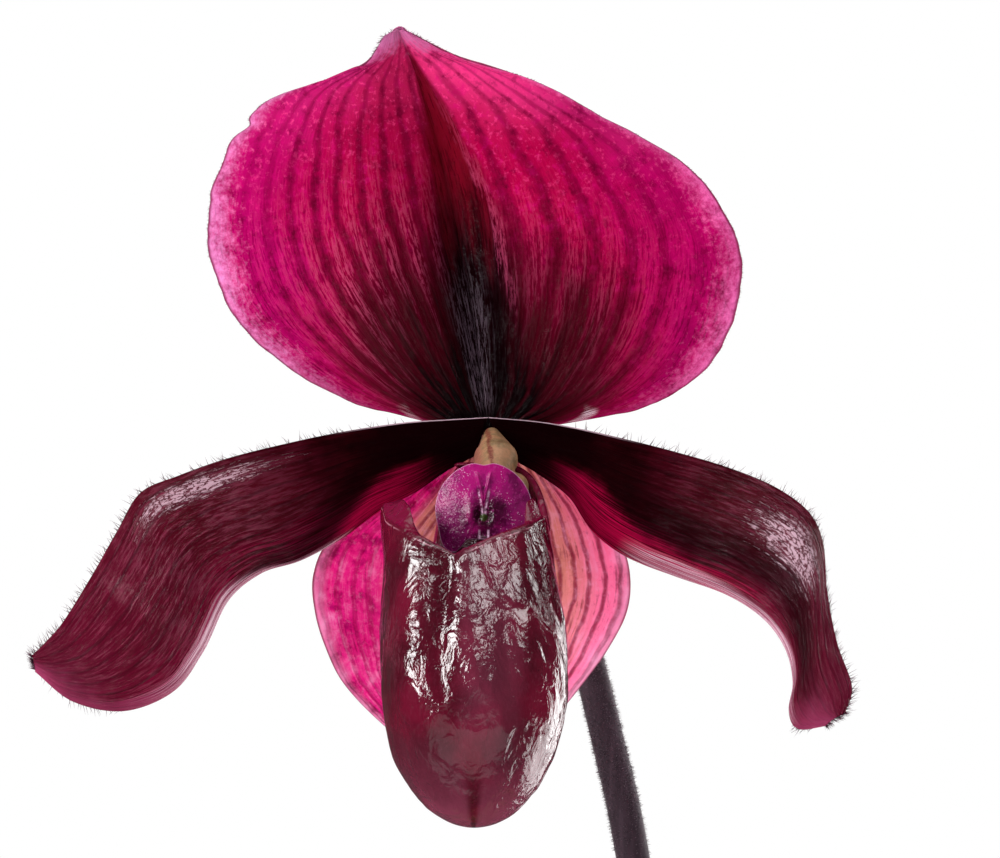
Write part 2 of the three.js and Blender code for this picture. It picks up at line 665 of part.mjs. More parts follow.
// The shield: a disc with a nick at its head and two lobes at its foot, dished round a small boss.
function shieldGeometry() {
  const outlineAt = (turn) => {
    const head = 0.07 * Math.exp(-Math.pow(turn / 0.16, 2));
    const fromFoot = Math.PI - Math.abs(turn);
    const foot = 0.34 * Math.exp(-Math.pow(fromFoot / 0.3, 2));
    const lobe = 0.1 * Math.exp(-Math.pow((fromFoot - 0.62) / 0.28, 2));
    return 1 - head - foot + lobe;
  };
  const faceAt = (radius, turn, side) => {
    const x = shield.halfWidth * radius * Math.sin(turn);
    const z = shield.halfHeight * radius * Math.cos(turn);
    const boss = 0.9 * Math.exp(-(x * x + Math.pow(z + 1.2, 2)) / 1.6);
    const dish = 0.05 * (x * x) - 0.02 * z * z;
    const thick = side * THREE.MathUtils.lerp(shield.thick, 0.7, radius * radius) * 0.5;
    return new THREE.Vector3(x, dish - (side > 0 ? boss : 0) - thick, z);
  };
  const sides = 30;
  const rings = 4;
  const positions = [];
  for (const side of [1, -1]) {
    for (let i = 1; i <= rings; i++) {
      for (let k = 0; k < sides; k++) {
        const turn = ((k + 0.5) / sides) * 2 * Math.PI - Math.PI;
        const point = faceAt((i / rings) * outlineAt(turn), turn, side);
        positions.push(point.x, point.y, point.z);
      }
    }
  }
  const front = faceAt(0, 0, 1);
  const back = faceAt(0, 0, -1);
  positions.push(front.x, front.y, front.z, back.x, back.y, back.z);
  const behind = rings * sides;
  const index = [];
  for (let k = 0; k < sides; k++) {
    const next = (k + 1) % sides;
    for (let i = 0; i < rings - 1; i++) {
      const [a, d] = [i * sides + k, i * sides + next];
      const [b, c] = [a + sides, d + sides];
      index.push(a, c, b, a, d, c);
      index.push(a + behind, b + behind, c + behind, a + behind, c + behind, d + behind);
    }
    index.push(2 * behind, next, k);
    index.push(2 * behind + 1, behind + k, behind + next);
    const [rimHere, rimNext] = [(rings - 1) * sides + k, (rings - 1) * sides + next];
    index.push(rimHere, rimNext + behind, rimHere + behind, rimHere, rimNext, rimNext + behind);
  }
  const geometry = new THREE.BufferGeometry();
  geometry.setAttribute('position', new THREE.Float32BufferAttribute(positions, 3));
  geometry.setIndex(index);
  geometry.rotateX(radians(-shield.lean));
  geometry.translate(...shield.centre);
  return geometry;
}

// The column runs forward and down from the hub to the back of the shield. An anther stands on each side
// of it, and the stigma hangs below.
function columnGeometry() {
  const head = new THREE.Vector3(0.2, -8.2, -6.9);
  const route = new THREE.LineCurve3(new THREE.Vector3(0, -0.75, -2.3), head);
  const radiusAt = (t) => THREE.MathUtils.lerp(1.5, 2.9, smooth(0, 0.9, t));
  let body = solidOf(barGeometry(route, radiusAt, 12, 6));
  for (const side of [-1, 1]) {
    const anther = new THREE.SphereGeometry(1.7, 10, 8);
    anther.scale(0.9, 1.2, 1);
    anther.translate(side * 3.4, -6.4, -7.8);
    body = body.add(solidOf(anther));
  }
  const stigma = new THREE.SphereGeometry(2.2, 12, 8);
  stigma.scale(1, 1.1, 0.5);
  stigma.rotateX(radians(-25));
  stigma.translate(0, -7.9, -10.6);
  const neck = new THREE.CylinderGeometry(1.4, 1.8, 5, 10).rotateX(Math.PI / 2);
  neck.translate(0, -7.2, -8.4);
  body = body.add(solidOf(neck)).add(solidOf(stigma));
  return geometryOf(body);
}

function bloom() {
  const group = new THREE.Group();
  group.position.set(...hub);
  group.add(piece('dorsal_sepal', dorsalGeometry(), colours.dorsal));
  group.add(piece('synsepal', synsepalGeometry(), colours.synsepal));
  group.add(piece('petal_left', petalGeometry(leftPetal), colours.petal));
  group.add(piece('petal_right', petalGeometry(rightPetal), colours.petal));
  group.add(piece('pouch', pouchGeometry(), colours.pouch));
  group.add(piece('staminode', shieldGeometry(), colours.shield));
  group.add(piece('column', columnGeometry(), colours.column));
  return group;
}

const orchid = new THREE.Group();
orchid.add(piece('pot', potGeometry(), colours.clay));
orchid.add(piece('potting_mix', mixGeometry(), colours.bark));
for (const fan of fans) orchid.add(...fanOfLeaves(fan));
orchid.add(piece('scape', scapeGeometry(), colours.scape));
orchid.add(piece('ovary', ovaryGeometry(), colours.ovary));
orchid.add(piece('bract', bractGeometry(), colours.bract));
orchid.add(bloom());

export default orchid;
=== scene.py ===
import math
import random

import bmesh
import bpy
from mathutils import Matrix, Vector, noise


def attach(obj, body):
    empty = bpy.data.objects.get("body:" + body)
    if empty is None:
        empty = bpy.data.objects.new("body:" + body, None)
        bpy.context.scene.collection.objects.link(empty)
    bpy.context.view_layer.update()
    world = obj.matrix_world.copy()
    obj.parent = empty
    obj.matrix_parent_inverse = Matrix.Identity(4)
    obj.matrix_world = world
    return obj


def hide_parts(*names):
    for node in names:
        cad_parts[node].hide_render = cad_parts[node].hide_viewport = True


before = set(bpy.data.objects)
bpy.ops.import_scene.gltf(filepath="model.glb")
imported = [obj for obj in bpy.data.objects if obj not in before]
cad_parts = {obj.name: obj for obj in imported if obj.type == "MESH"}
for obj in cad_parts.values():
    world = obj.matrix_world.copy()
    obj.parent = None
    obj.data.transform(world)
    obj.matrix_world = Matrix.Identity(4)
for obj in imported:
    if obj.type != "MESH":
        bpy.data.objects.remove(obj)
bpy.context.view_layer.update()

# A potted slipper orchid. The bloom faces -Y. Sizes are in millimetres until a piece is put together.
mm = 0.001
print("frame loaded, nodes:", len(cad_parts))


def colour(code, alpha=1.0):
    # "c8005f" as the picture shows it, to the linear values that shaders take
    parts = [int(code[i:i + 2], 16) / 255 for i in (0, 2, 4)]
    return tuple(p / 12.92 if p <= 0.04045 else ((p + 0.055) / 1.055) ** 2.4 for p in parts) + (alpha,)


def mixed(a, b, share):
    return a + (b - a) * share


def smooth(low, high, value):
    share = min(max((value - low) / (high - low), 0.0), 1.0)
    return share * share * (3 - 2 * share)


def bump(value, middle, width):
    return math.exp(-((value - middle) / width) ** 2)


def valueAlong(values, place):
    # the smooth curve through evenly spaced values, place from 0 to 1
    last = len(values) - 1
    place = min(max(place, 0.0), 1.0) * last
    k = min(int(place), last - 1)
    f = place - k
    b, c = values[k], values[k + 1]
    a = values[k - 1] if k > 0 else 2 * b - c
    d = values[k + 2] if k + 2 <= last else 2 * c - b
    return b + 0.5 * f * (c - a + f * (2 * a - 5 * b + 4 * c - d + f * (3 * (b - c) + d - a)))


def rowAlong(table, place):
    return [valueAlong([row[n] for row in table], place) for n in range(len(table[0]))]


def rough(point, size, depth=3, seed=0.0):
    # soft lumps of that size, about -1 to 1
    return noise.fractal(Vector(point) / size + Vector((seed, seed * 1.7, -seed)), 1.0, 2.0, depth)


# Shaders. A wire stands for a socket, and a paint makes the nodes of one material.

class Wire:
    def __init__(self, paint, socket):
        self.paint = paint
        self.socket = socket

    def __add__(self, other):
        return self.paint.maths("ADD", self, other)

    def __radd__(self, other):
        return self.paint.maths("ADD", other, self)

    def __sub__(self, other):
        return self.paint.maths("SUBTRACT", self, other)

    def __rsub__(self, other):
        return self.paint.maths("SUBTRACT", other, self)

    def __mul__(self, other):
        return self.paint.maths("MULTIPLY", self, other)

    def __rmul__(self, other):
        return self.paint.maths("MULTIPLY", other, self)

    def __truediv__(self, other):
        return self.paint.maths("DIVIDE", self, other)

    def __rtruediv__(self, other):
        return self.paint.maths("DIVIDE", other, self)

    def __pow__(self, other):
        return self.paint.maths("POWER", self, other)

    def __abs__(self):
        return self.paint.maths("ABSOLUTE", self)


class Paint:
    def __init__(self, name, isWorld=False):
        self.owner = bpy.data.worlds.new(name) if isWorld else bpy.data.materials.new(name)
        self.owner.use_nodes = True
        self.tree = self.owner.node_tree
        self.tree.nodes.clear()
        if not isWorld:
            self.place = self.node("TexCoord", {}, {}, "Object")
            self.uv = self.node("TexCoord", {}, {}, "UV")

    def node(self, kind, settings, sockets, output=0):
        new = self.tree.nodes.new("ShaderNode" + kind)
        for key, value in settings.items():
            setattr(new, key, value)
        for key, value in sockets.items():
            if isinstance(value, Wire):
                self.tree.links.new(value.socket, new.inputs[key])
            else:
                new.inputs[key].default_value = value
        return Wire(self, new.outputs[output]) if new.outputs else new

    def maths(self, operation, *values):
        return self.node("Math", {"operation": operation}, dict(enumerate(values)))

    def step(self, value, low, high, start=0.0, end=1.0):
        sockets = {"Value": value, "From Min": low, "From Max": high, "To Min": start, "To Max": end}
        return self.node("MapRange", {"interpolation_type": "SMOOTHSTEP"}, sockets)

    def tint(self, amount, first, second):
        return self.node("Mix", {"data_type": "RGBA"}, {0: amount, 6: first, 7: second}, 2)

    def parts(self, vector):
        return [self.node("SeparateXYZ", {}, {0: vector}, n) for n in range(3)]

    def spot(self, x, y):
        return self.node("CombineXYZ", {}, {0: x, 1: y})

    def length(self, vector):
        return self.node("VectorMath", {"operation": "LENGTH"}, {0: vector}, "Value")

    def stretched(self, vector, scale):
        return self.node("Mapping", {}, {"Vector": vector, "Scale": scale})

    def noisy(self, settings, vector, scale, detail, roughness, twist, **more):
        sockets = {"Vector": vector, "Scale": scale, "Detail": detail, "Roughness": roughness}
        return self.node("TexNoise", settings, {**sockets, "Distortion": twist, **more})

    def lumps(self, vector, scale, detail=3.0, roughness=0.55, twist=0.0):
        return self.noisy({}, vector, scale, detail, roughness, twist)

    def creases(self, vector, scale, detail, roughness, twist):
        settings = {"noise_type": "RIDGED_MULTIFRACTAL", "normalize": True}
        ridges = {"Lacunarity": 2.1, "Offset": 1.0, "Gain": 1.6}
        return self.noisy(settings, vector, scale, detail, roughness, twist, **ridges)

    def cells(self, vector, scale, feature="F1", output="Distance", randomness=1.0):
        sockets = {"Vector": vector, "Scale": scale, "Randomness": randomness}
        return self.node("TexVoronoi", {"feature": feature}, sockets, output)

    def relief(self, height, depth):
        return self.node("Bump", {}, {"Height": height, "Distance": depth, "Strength": 1.0})

    def skin(self, base, roughness, normal=None, **fixed):
        sockets = {"Base Color": base, "Roughness": roughness}
        if normal:
            sockets["Normal"] = normal
        for key, value in fixed.items():
            sockets[key.replace("_", " ")] = value
        return self.node("BsdfPrincipled", {}, sockets)

    def waxed(self, base, normal, wax, gloss):
        # dull skin with glossy places where wax is 1
        dull = self.skin(base, 0.6, normal, Specular_IOR_Level=0.0)
        shiny = self.skin(base, gloss, normal, Specular_IOR_Level=0.5)
        return self.node("MixShader", {}, {0: wax, 1: dull, 2: shiny})

    def glow(self, skin, through, amount, normal):
        # a thin blade that light from behind shows through
        behind = self.node("BsdfTranslucent", {}, {"Color": through, "Normal": normal})
        return self.node("MixShader", {}, {0: amount, 1: skin, 2: behind})

    def done(self, shader):
        self.node("OutputMaterial", {}, {"Surface": shader})
        return self.owner


# Ways to make a piece

def entered(name, bm, material, slotName, *nodes):
    mesh = bpy.data.meshes.new(name)
    for face in bm.faces:
        face.smooth = True
    bm.to_mesh(mesh)
    bm.free()
    piece = bpy.data.objects.new(name, mesh)
    bpy.context.scene.collection.objects.link(piece)
    mesh.materials.append(material)
    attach(piece, "root")
    if nodes:
        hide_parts(*nodes)
    return piece


def gridPlace(vert):
    # a grid's vertex as u and v, from 0 to 1
    return min(max(vert.co.x + 0.5, 0), 1), min(max(vert.co.y + 0.5, 0), 1)


def thinMargin(start):
    # full thickness in the middle of a blade, sinking to its margins
    return lambda u, v: 1 - smooth(start, 1, abs(2 * v - 1))


def bladeSheet(pointAt, rows, columns, thinAt=None):
    # a grid laid on the surface pointAt(u, v), its weights saying how thin the blade is
    bm = bmesh.new()
    bm.loops.layers.uv.new("UVMap")
    bmesh.ops.create_grid(bm, x_segments=rows, y_segments=columns, size=0.5, calc_uvs=True)
    weights = bm.verts.layers.deform.verify()
    for vert in bm.verts:
        u, v = gridPlace(vert)
        vert[weights][0] = thinAt(u, v) if thinAt else 1.0
        vert.co = Vector(pointAt(u, v)) * mm
    return bm


def thicken(piece, thickness, levels=1, thinnest=0.4):
    piece.vertex_groups.new(name="thick")
    wall = piece.modifiers.new("Solidify", "SOLIDIFY")
    wall.thickness = thickness * mm
    wall.offset = 0.0
    wall.vertex_group = "thick"
    wall.thickness_vertex_group = thinnest
    if levels:
        fine = piece.modifiers.new("Subdivision", "SUBSURF")
        fine.levels = levels
        fine.render_levels = levels


def wrapped(pointAt, along, around):
    # a grid rolled into a tube: pointAt(u, turn), welded down its seam and shut at both ends
    bm = bmesh.new()
    bm.loops.layers.uv.new("UVMap")
    bmesh.ops.create_grid(bm, x_segments=along, y_segments=around, size=0.5, calc_uvs=True)
    for vert in bm.verts:
        u, v = gridPlace(vert)
        turn = (v % 1.0) * 2 * math.pi
        vert.co = Vector(pointAt(u, turn)) * mm
    bmesh.ops.remove_doubles(bm, verts=bm.verts, dist=1e-7)
    bmesh.ops.holes_fill(bm, edges=[e for e in bm.edges if e.is_boundary], sides=0)
    bmesh.ops.recalc_face_normals(bm, faces=bm.faces)
    return bm


def routeFrames(points, steps):
    # places, and two directions across the route, at even parameters
    columns = list(zip(*points))
    places = [Vector([valueAlong(c, i / steps) for c in columns]) for i in range(steps + 1)]
    frames = []
    across = None
    for i, place in enumerate(places):
        along = (places[min(i + 1, steps)] - places[max(i - 1, 0)]).normalized()
        if across is None:
            across = along.orthogonal().normalized()
        across = (across - along * across.dot(along)).normalized()
        frames.append((place, across, along.cross(across), along))
    return frames


def coneHair(bend):
    # one hair of unit length and unit foot, tapering to a point
    bm = bmesh.new()
    bmesh.ops.create_cone(bm, segments=3, radius1=1, radius2=0.55, depth=0.5, cap_ends=True,
                          matrix=Matrix.Translation((0, 0, 0.25)))
    top = [f for f in bm.faces if f.calc_center_median().z > 0.45]
    for vert in bmesh.ops.poke(bm, faces=top)["verts"]:
        vert.co = Vector((bend * 0.5, 0, 1.0))
    for vert in bm.verts:
        if 0.4 < vert.co.z < 0.6:
            vert.co.x += bend * 0.12
    mesh = bpy.data.meshes.new("hair")
    bm.to_mesh(mesh)
    bm.free()
    return mesh


def hairCoat(name, roots, thickness, material, slotName, seed):
    # roots: place, direction and length of each hair, in millimetres
    draw = random.Random(seed)
    templates = [coneHair(bend) for bend in (0.0, 0.25, 0.5)]
    bm = bmesh.new()
    for place, direction, length in roots:
        hair = draw.choice(templates).copy()
        turn = Vector(direction).to_track_quat("Z", "X").to_matrix().to_4x4()
        size = Matrix.Diagonal((thickness * mm, thickness * mm, length * mm, 1))
        spin = Matrix.Rotation(draw.uniform(0, 6.28), 4, "Z")
        hair.transform(Matrix.Translation(Vector(place) * mm) @ turn @ spin @ size)
        bm.from_mesh(hair)
        bpy.data.meshes.remove(hair)
    for template in templates:
        bpy.data.meshes.remove(template)
    return entered(name, bm, material, slotName)


def hairPaint(name, root, tip):
    paint = Paint(name)
    tone = paint.tint(paint.lumps(paint.place, 900, 2), root, tip)
    return paint.done(paint.skin(tone, 0.5))


black = colour("000000")
white = colour("ffffff")
hub = Vector((-28, -33, 330))  # where the bloom's parts meet
hairThick = 0.035  # of the short hairs, at the foot

# Camera, floor and light

studio = {
    "distance": 900,
    "frameWidth": 125,  # at the hub, across the picture
    "off": (1.6, -0.5),  # picture centre from the hub, right and up
    "sensor": 36,
    "roomLight": 0.07,
    "floorRadius": 1800,
    "floorTones": (colour("c6c5c3"), colour("cecdcb")),
    "floorGlow": (120, 600),  # from where to where the floor's own light comes up
    "farTone": colour("f8f7f5"),
    "lamps": [
        # name, degrees round from the front and up, distance, width, height, watts, seen in the gloss
        ("left softbox", -61, 18, 900, 280, 480, 11.0, True),
        ("right panel", 60, 15, 1000, 800, 600, 2.6, False),
        ("right rim", 128, 4, 800, 420, 640, 6.0, True),
        ("low rim", 112, -30, 500, 420, 240, 1.7, True),
        ("low front", -6, -38, 480, 900, 420, 0.9, True),
        ("upper left", -34, 56, 900, 200, 300, 2.2, True),
        ("upper right", 36, 46, 900, 260, 240, 1.9, True),
        ("back panel", 178, 12, 620, 900, 900, 18.0, False),
        ("top panel", 120, 78, 800, 700, 700, 2.5, True),
    ],
}


def makeCamera():
    camera = bpy.data.objects.new("camera", bpy.data.cameras.new("camera"))
    bpy.context.scene.collection.objects.link(camera)
    camera.data.sensor_fit = "HORIZONTAL"
    camera.data.sensor_width = studio["sensor"]
    camera.data.lens = studio["sensor"] * studio["distance"] / studio["frameWidth"]
    camera.data.clip_start = 0.01
    camera.data.clip_end = 20
    aim = hub + Vector((studio["off"][0], 0, studio["off"][1]))
    camera.location = (aim + Vector((0, -studio["distance"], 0))) * mm
    camera.rotation_euler = (math.radians(90), 0, 0)
    bpy.context.scene.camera = camera


def makeLamps():
    for name, turn, rise, distance, width, height, watts, glossy in studio["lamps"]:
        lamp = bpy.data.lights.new(name, "AREA")
        lamp.shape = "RECTANGLE"
        lamp.size = width * mm
        lamp.size_y = height * mm
        lamp.energy = watts
        holder = bpy.data.objects.new(name, lamp)
        bpy.context.scene.collection.objects.link(holder)
        turn, rise = math.radians(turn), math.radians(rise)
        level = math.cos(rise)
        away = Vector((math.sin(turn) * level, -math.cos(turn) * level, math.sin(rise)))
        holder.location = (hub + away * distance) * mm
        holder.rotation_euler = away.to_track_quat("Z", "Y").to_euler()
        holder.visible_camera = False
        holder.visible_glossy = glossy


def makeRoom():
    # white where the camera looks into it, and dim where it lights the plant
    room = Paint("white room", isWorld=True)
    seen = room.node("Background", {}, {"Color": white, "Strength": 1.0})
    lit = room.node("Background", {}, {"Color": white, "Strength": studio["roomLight"]})
    toCamera = room.node("LightPath", {}, {}, "Is Camera Ray")
    choice = room.node("MixShader", {}, {0: toCamera, 1: lit, 2: seen})
    room.node("OutputWorld", {}, {"Surface": choice})
    bpy.context.scene.world = room.owner
    bpy.context.scene.view_settings.view_transform = "Standard"
    bpy.context.scene.view_settings.look = "None"


def makeFloor():
    bm = bmesh.new()
    bmesh.ops.create_circle(bm, cap_ends=True, segments=64, radius=studio["floorRadius"] * mm)
    mesh = bpy.data.meshes.new("floor")
    bm.to_mesh(mesh)
    bm.free()
    floor = bpy.data.objects.new("floor", mesh)
    bpy.context.scene.collection.objects.link(floor)
    paint = Paint("pale floor")
    tone = paint.tint(paint.lumps(paint.place, 60, 4), *studio["floorTones"])
    near, far = studio["floorGlow"]
    glow = paint.tint(paint.step(paint.length(paint.place), near * mm, far * mm), black, studio["farTone"])
    mesh.materials.append(paint.done(paint.skin(tone, 0.7, Emission_Color=glow, Emission_Strength=1.0)))
    floor.visible_glossy = False


makeCamera()
makeLamps()
makeRoom()
makeFloor()
print("studio ready")

# Dorsal sepal. Its rows, from the base up, hold:
# left margin x z, midrib x z, right margin x z, depth of margin, shoulder and midrib
dorsal = {
    "rows": [
        (-4.2, -0.4, 0, -0.6, 4.6, -0.6, 1.9, 1.9, 1.9),
        (-11, 1.4, -0.5, 4, 14.1, 1.1, 4.4, 1, 2.3),
        (-18.2, 3.4, -1.3, 10, 21, 2.8, 5, -0.5, 3),
        (-26.2, 8.3, -2.3, 17, 27.4, 7.2, 4, -1.8, 3.5),
        (-32, 14.2, -3.5, 23, 31, 13.8, 2.6, -2.6, 3.4),
        (-34.7, 21.5, -4.6, 28.5, 31.9, 20.5, 1.6, -3, 3.1),
        (-34.6, 28.4, -5.8, 33.5, 29.6, 26.6, 0.7, -3.1, 2.5),
        (-31.9, 34.8, -7.2, 38.5, 24.6, 32.6, -0.3, -3.2, 1.6),
        (-28, 40, -8.4, 42.4, 16, 37.6, -1.4, -3.4, 0.4),
        (-20.5, 42.9, -9.6, 45.6, 6, 42.8, -2.8, -3.7, -1),
        (-15.2, 45, -10.4, 47.6, -3.4, 45.8, -4.2, -4.2, -2.6),
        (-12.8, 48.4, -11, 49.4, -9.2, 48.6, -4.4, -4.4, -4),
    ],
    "shoulder": 0.42,
    "thick": 0.8,
    "veins": 10,  # on each side of the midrib
    "black": colour("0c0103"),
    "channel": colour("74081e"),
    "maroon": colour("4c0416"),
    "dusk": colour("6c0232"),
    "crimson": colour("a80349"),
    "magenta": colour("ae0668"),
    "rose": colour("ca107a"),
    "pale": colour("e0a0d2"),
    "bloom": colour("e88cc8"),
    "blush": colour("f04c9c"),
    "thread": colour("bc4470"),
    "sheen": colour("604c5a"),
    "white": colour("eadfe8"),
    "nicks": ((0.675, 0.9), (0.735, 0.5)),  # how far up the left and right margin, and how deep
    "fuzz": 900,  # hairs along the margin
    "tipFuzz": 160,
    "hair": (colour("4a1030"), colour("7a2c52")),
}


def dorsalPoint(u, v):
    lx, lz, mx, mz, rx, rz, edge, shoulder, crease = rowAlong(dorsal["rows"], u)
    side = 2 * v - 1
    share = abs(side)
    ex, ez = (lx, lz) if side < 0 else (rx, rz)
    rise = math.sin(min(share / dorsal["shoulder"], 1) * math.pi / 2)
    fall = max(share - dorsal["shoulder"], 0) / (1 - dorsal["shoulder"])
    depth = crease + (shoulder - crease) * rise + (edge - shoulder) * fall * fall
    # the margin is a little uneven, with a nick near the head on each side
    nickAt, nickDepth = dorsal["nicks"][0 if side < 0 else 1]
    nick = 0.5 * bump(u, nickAt - 0.03, 0.022) - bump(u, nickAt, 0.012)
    uneven = 0.3 * rough((u * 55, side, 0), 3.0, 3, 9.0) * smooth(0.05, 0.15, u) * (1 - smooth(0.9, 1, u))
    out = Vector((ex - mx, 0, ez - mz)).normalized() * (nick * nickDepth + uneven) * share ** 8
    x, z = mixed(mx, ex, share) + out.x, mixed(mz, ez, share) + out.z
    mid = smooth(0, 0.2, u) * (1 - smooth(0.9, 1, u))
    depth += mid * 0.5 * rough((x, 0, z), 8, 2, 1.3)
    depth += mid * smooth(0.7, 1, share) * 0.6 * rough((x, 0, z), 4.5, 2, 5.1)
    # folds that run up from the base, strongest low down
    furrow = math.cos(2 * math.pi * dorsal["veins"] * share + 1.5 * rough((x, 0, z), 9, 2, 3.3))
    depth -= 0.13 * furrow * (1 - share) * smooth(0.02, 0.1, share) * (1 - smooth(0.3, 0.9, u))
    return hub + Vector((x, depth, z))


def dorsalPaint():
    paint = Paint("dorsal sepal")
    u, v, _ = paint.parts(paint.uv)
    side = abs(v * 2 - 1)
    grain = paint.lumps(paint.stretched(paint.uv, (5, 60, 1)), 1.0, 4, 0.6)
    streak = paint.lumps(paint.stretched(paint.uv, (14, 210, 1)), 1.0, 4, 0.7)
    dash = paint.lumps(paint.stretched(paint.uv, (55, 240, 1)), 1.0, 3, 0.7)
    blotch = paint.lumps(paint.place, 520, 5, 0.7)
    fleck = paint.lumps(paint.place, 1500, 4, 0.7)
    broad = paint.lumps(paint.place, 90, 3, 0.5)

    # from black at the base, through crimson, to magenta
    reach = u + side ** 3 * 0.45 + (grain - 0.5) * 0.36 + (broad - 0.5) * 0.14
    tone = paint.tint(paint.step(reach, 0.12, 0.30), dorsal["black"], dorsal["maroon"])
    tone = paint.tint(paint.step(reach, 0.24, 0.55), tone, dorsal["crimson"])
    outer = paint.step(side + (broad - 0.5) * 0.5 + u * 0.15, 0.45, 0.95)
    tone = paint.tint(outer * paint.step(reach, 0.35, 0.6), tone, dorsal["magenta"])
    high = paint.step(u + (broad - 0.5) * 0.3, 0.55, 0.95) * paint.step(v, 0.35, 0.62, 0.35, 1.0)
    tone = paint.tint(high * 0.85, tone, dorsal["blush"])
    lit = paint.step(reach, 0.32, 0.55)
    tone = paint.tint(paint.step(blotch, 0.52, 0.66) * lit * 0.55, tone, dorsal["rose"])
    tone = paint.tint(paint.step(blotch, 0.48, 0.32) * lit * 0.55, tone, dorsal["dusk"])
    spots = paint.step(fleck, 0.52, 0.70) * paint.step(u, 0.3, 0.9, 0.15, 0.75)
    tone = paint.tint(spots * lit, tone, dorsal["blush"])

    # veins fan out from the base and fade towards the margins
    wobble = (paint.lumps(paint.stretched(paint.uv, (6, 5, 1)), 1.0, 4, 0.6) - 0.5) * 1.2
    spread = paint.step(v, 0.499, 0.501, dorsal["veins"], dorsal["veins"] * 0.75)  # wider on the right
    wave = abs(paint.maths("FRACT", side * spread + wobble) - 0.5) / (0.5 + grain)
    fading = paint.step(side, 0.6, 0.98, 1.0, 0.15) * paint.step(blotch, 0.3, 0.55, 1.0, 0.6)
    vein = paint.step(wave, 0.05, 0.28, 1.0, 0.0) * fading
    shade = paint.tint(paint.step(reach, 0.3, 0.8), dorsal["maroon"], dorsal["dusk"])
    tone = paint.tint(vein * paint.step(u, 0.6, 1.0, 0.85, 0.5), tone, shade)

    # light threads and dark lines between the veins low down
    mesh = streak * 0.55 + dash * 0.45
    low = paint.step(reach, 0.22, 0.40) * paint.step(u, 0.66, 0.34)
    tone = paint.tint(paint.step(mesh, 0.485, 0.43) * low * 0.5, tone, dorsal["maroon"])
    threads = paint.step(mesh, 0.48, 0.54) * low * paint.step(wave, 0.16, 0.36)
    shown = paint.step(side, 0.8, 0.5, 0.3, 1.0) * paint.step(v, 0.47, 0.56, 0.8, 0.3)
    tone = paint.tint(threads * shown, tone, dorsal["thread"])

    # the dark channel along the midrib, with a bright ridge to its right
    reachOfDark = paint.step(u, 0.08, 0.95, 0.14, 0.02) * (0.55 + grain)
    dark = paint.tint(paint.step(reach, 0.3, 0.6), dorsal["black"], dorsal["channel"])
    channel = paint.step(abs(v - 0.516) / reachOfDark, 0.35, 1.0, 1.0, 0.0)
    tone = paint.tint(channel * paint.step(u, 0.7, 0.98, 0.96, 0.4), tone, dark)
    lines = paint.step(streak, 0.47, 0.40) * channel
    tone = paint.tint(lines * 0.5, tone, dorsal["black"])
    ridge = paint.step(abs(v - 0.5 - reachOfDark * 0.75), 0.013, 0.002)
    ridge *= paint.step(u, 0.2, 0.36) * paint.step(u, 0.8, 0.5)
    tone = paint.tint(ridge * paint.step(mesh, 0.44, 0.56) * 0.5, tone, dorsal["thread"])
    # painted sheen: grey-lilac streaks low in the channel stand in for its gloss
    sheen = paint.step(abs(v - 0.49) + (grain - 0.5) * 0.08, 0.07, 0.02)
    sheen *= paint.step(u, 0.36, 0.18) * paint.step(u, 0.03, 0.08)
    tone = paint.tint(sheen * paint.step(mesh, 0.48, 0.54) * 0.85, tone, dorsal["sheen"])

    # the pale fringe and tip
    ragged = side + (fleck - 0.5) * 0.3 + (blotch - 0.5) * 0.16 + (broad - 0.5) * 0.12
    fringe = paint.step(ragged, 0.87, 1.08) * paint.step(u, 0.08, 0.3) * paint.step(u, 0.95, 0.7, 0.6, 1.0)
    edge = paint.tint(paint.step(v, 0.4, 0.6), dorsal["pale"], dorsal["bloom"])
    tone = paint.tint(fringe * 0.85, tone, edge)
    tip = paint.step(u + (blotch - 0.5) * 0.4, 0.86, 1.0)
    tone = paint.tint(tip * 0.55, tone, dorsal["pale"])
    tone = paint.tint(paint.step(side, 0.986, 0.998) * 0.8, tone, dorsal["dusk"])

    # the turned-back margin low down catches the light
    turned = paint.step(abs(side - 1.17 + u * 3.1), 0.07, 0.02)
    turned *= paint.step(u, 0.04, 0.06) * paint.step(u, 0.13, 0.10)
    turned *= paint.step(streak, 0.46, 0.54) * paint.step(v, 0.4, 0.6, 0.5, 0.9)
    tone = paint.tint(turned, tone, dorsal["white"])

    height = grain * 0.4 + streak * 0.6 + dash * 0.3 + blotch * 0.5 + fleck * 0.25 - vein * 0.5
    normal = paint.relief(height, 0.3 * mm)
    glossy = paint.step(reach, 0.25, 0.62, 0.8, 0.05) * paint.step(v, 0.56, 0.5, 0.3, 1.0)
    skin = paint.waxed(tone, normal, glossy * paint.step(mesh, 0.46, 0.54), 0.22)
    return paint.done(paint.glow(skin, tone, 0.5, normal))


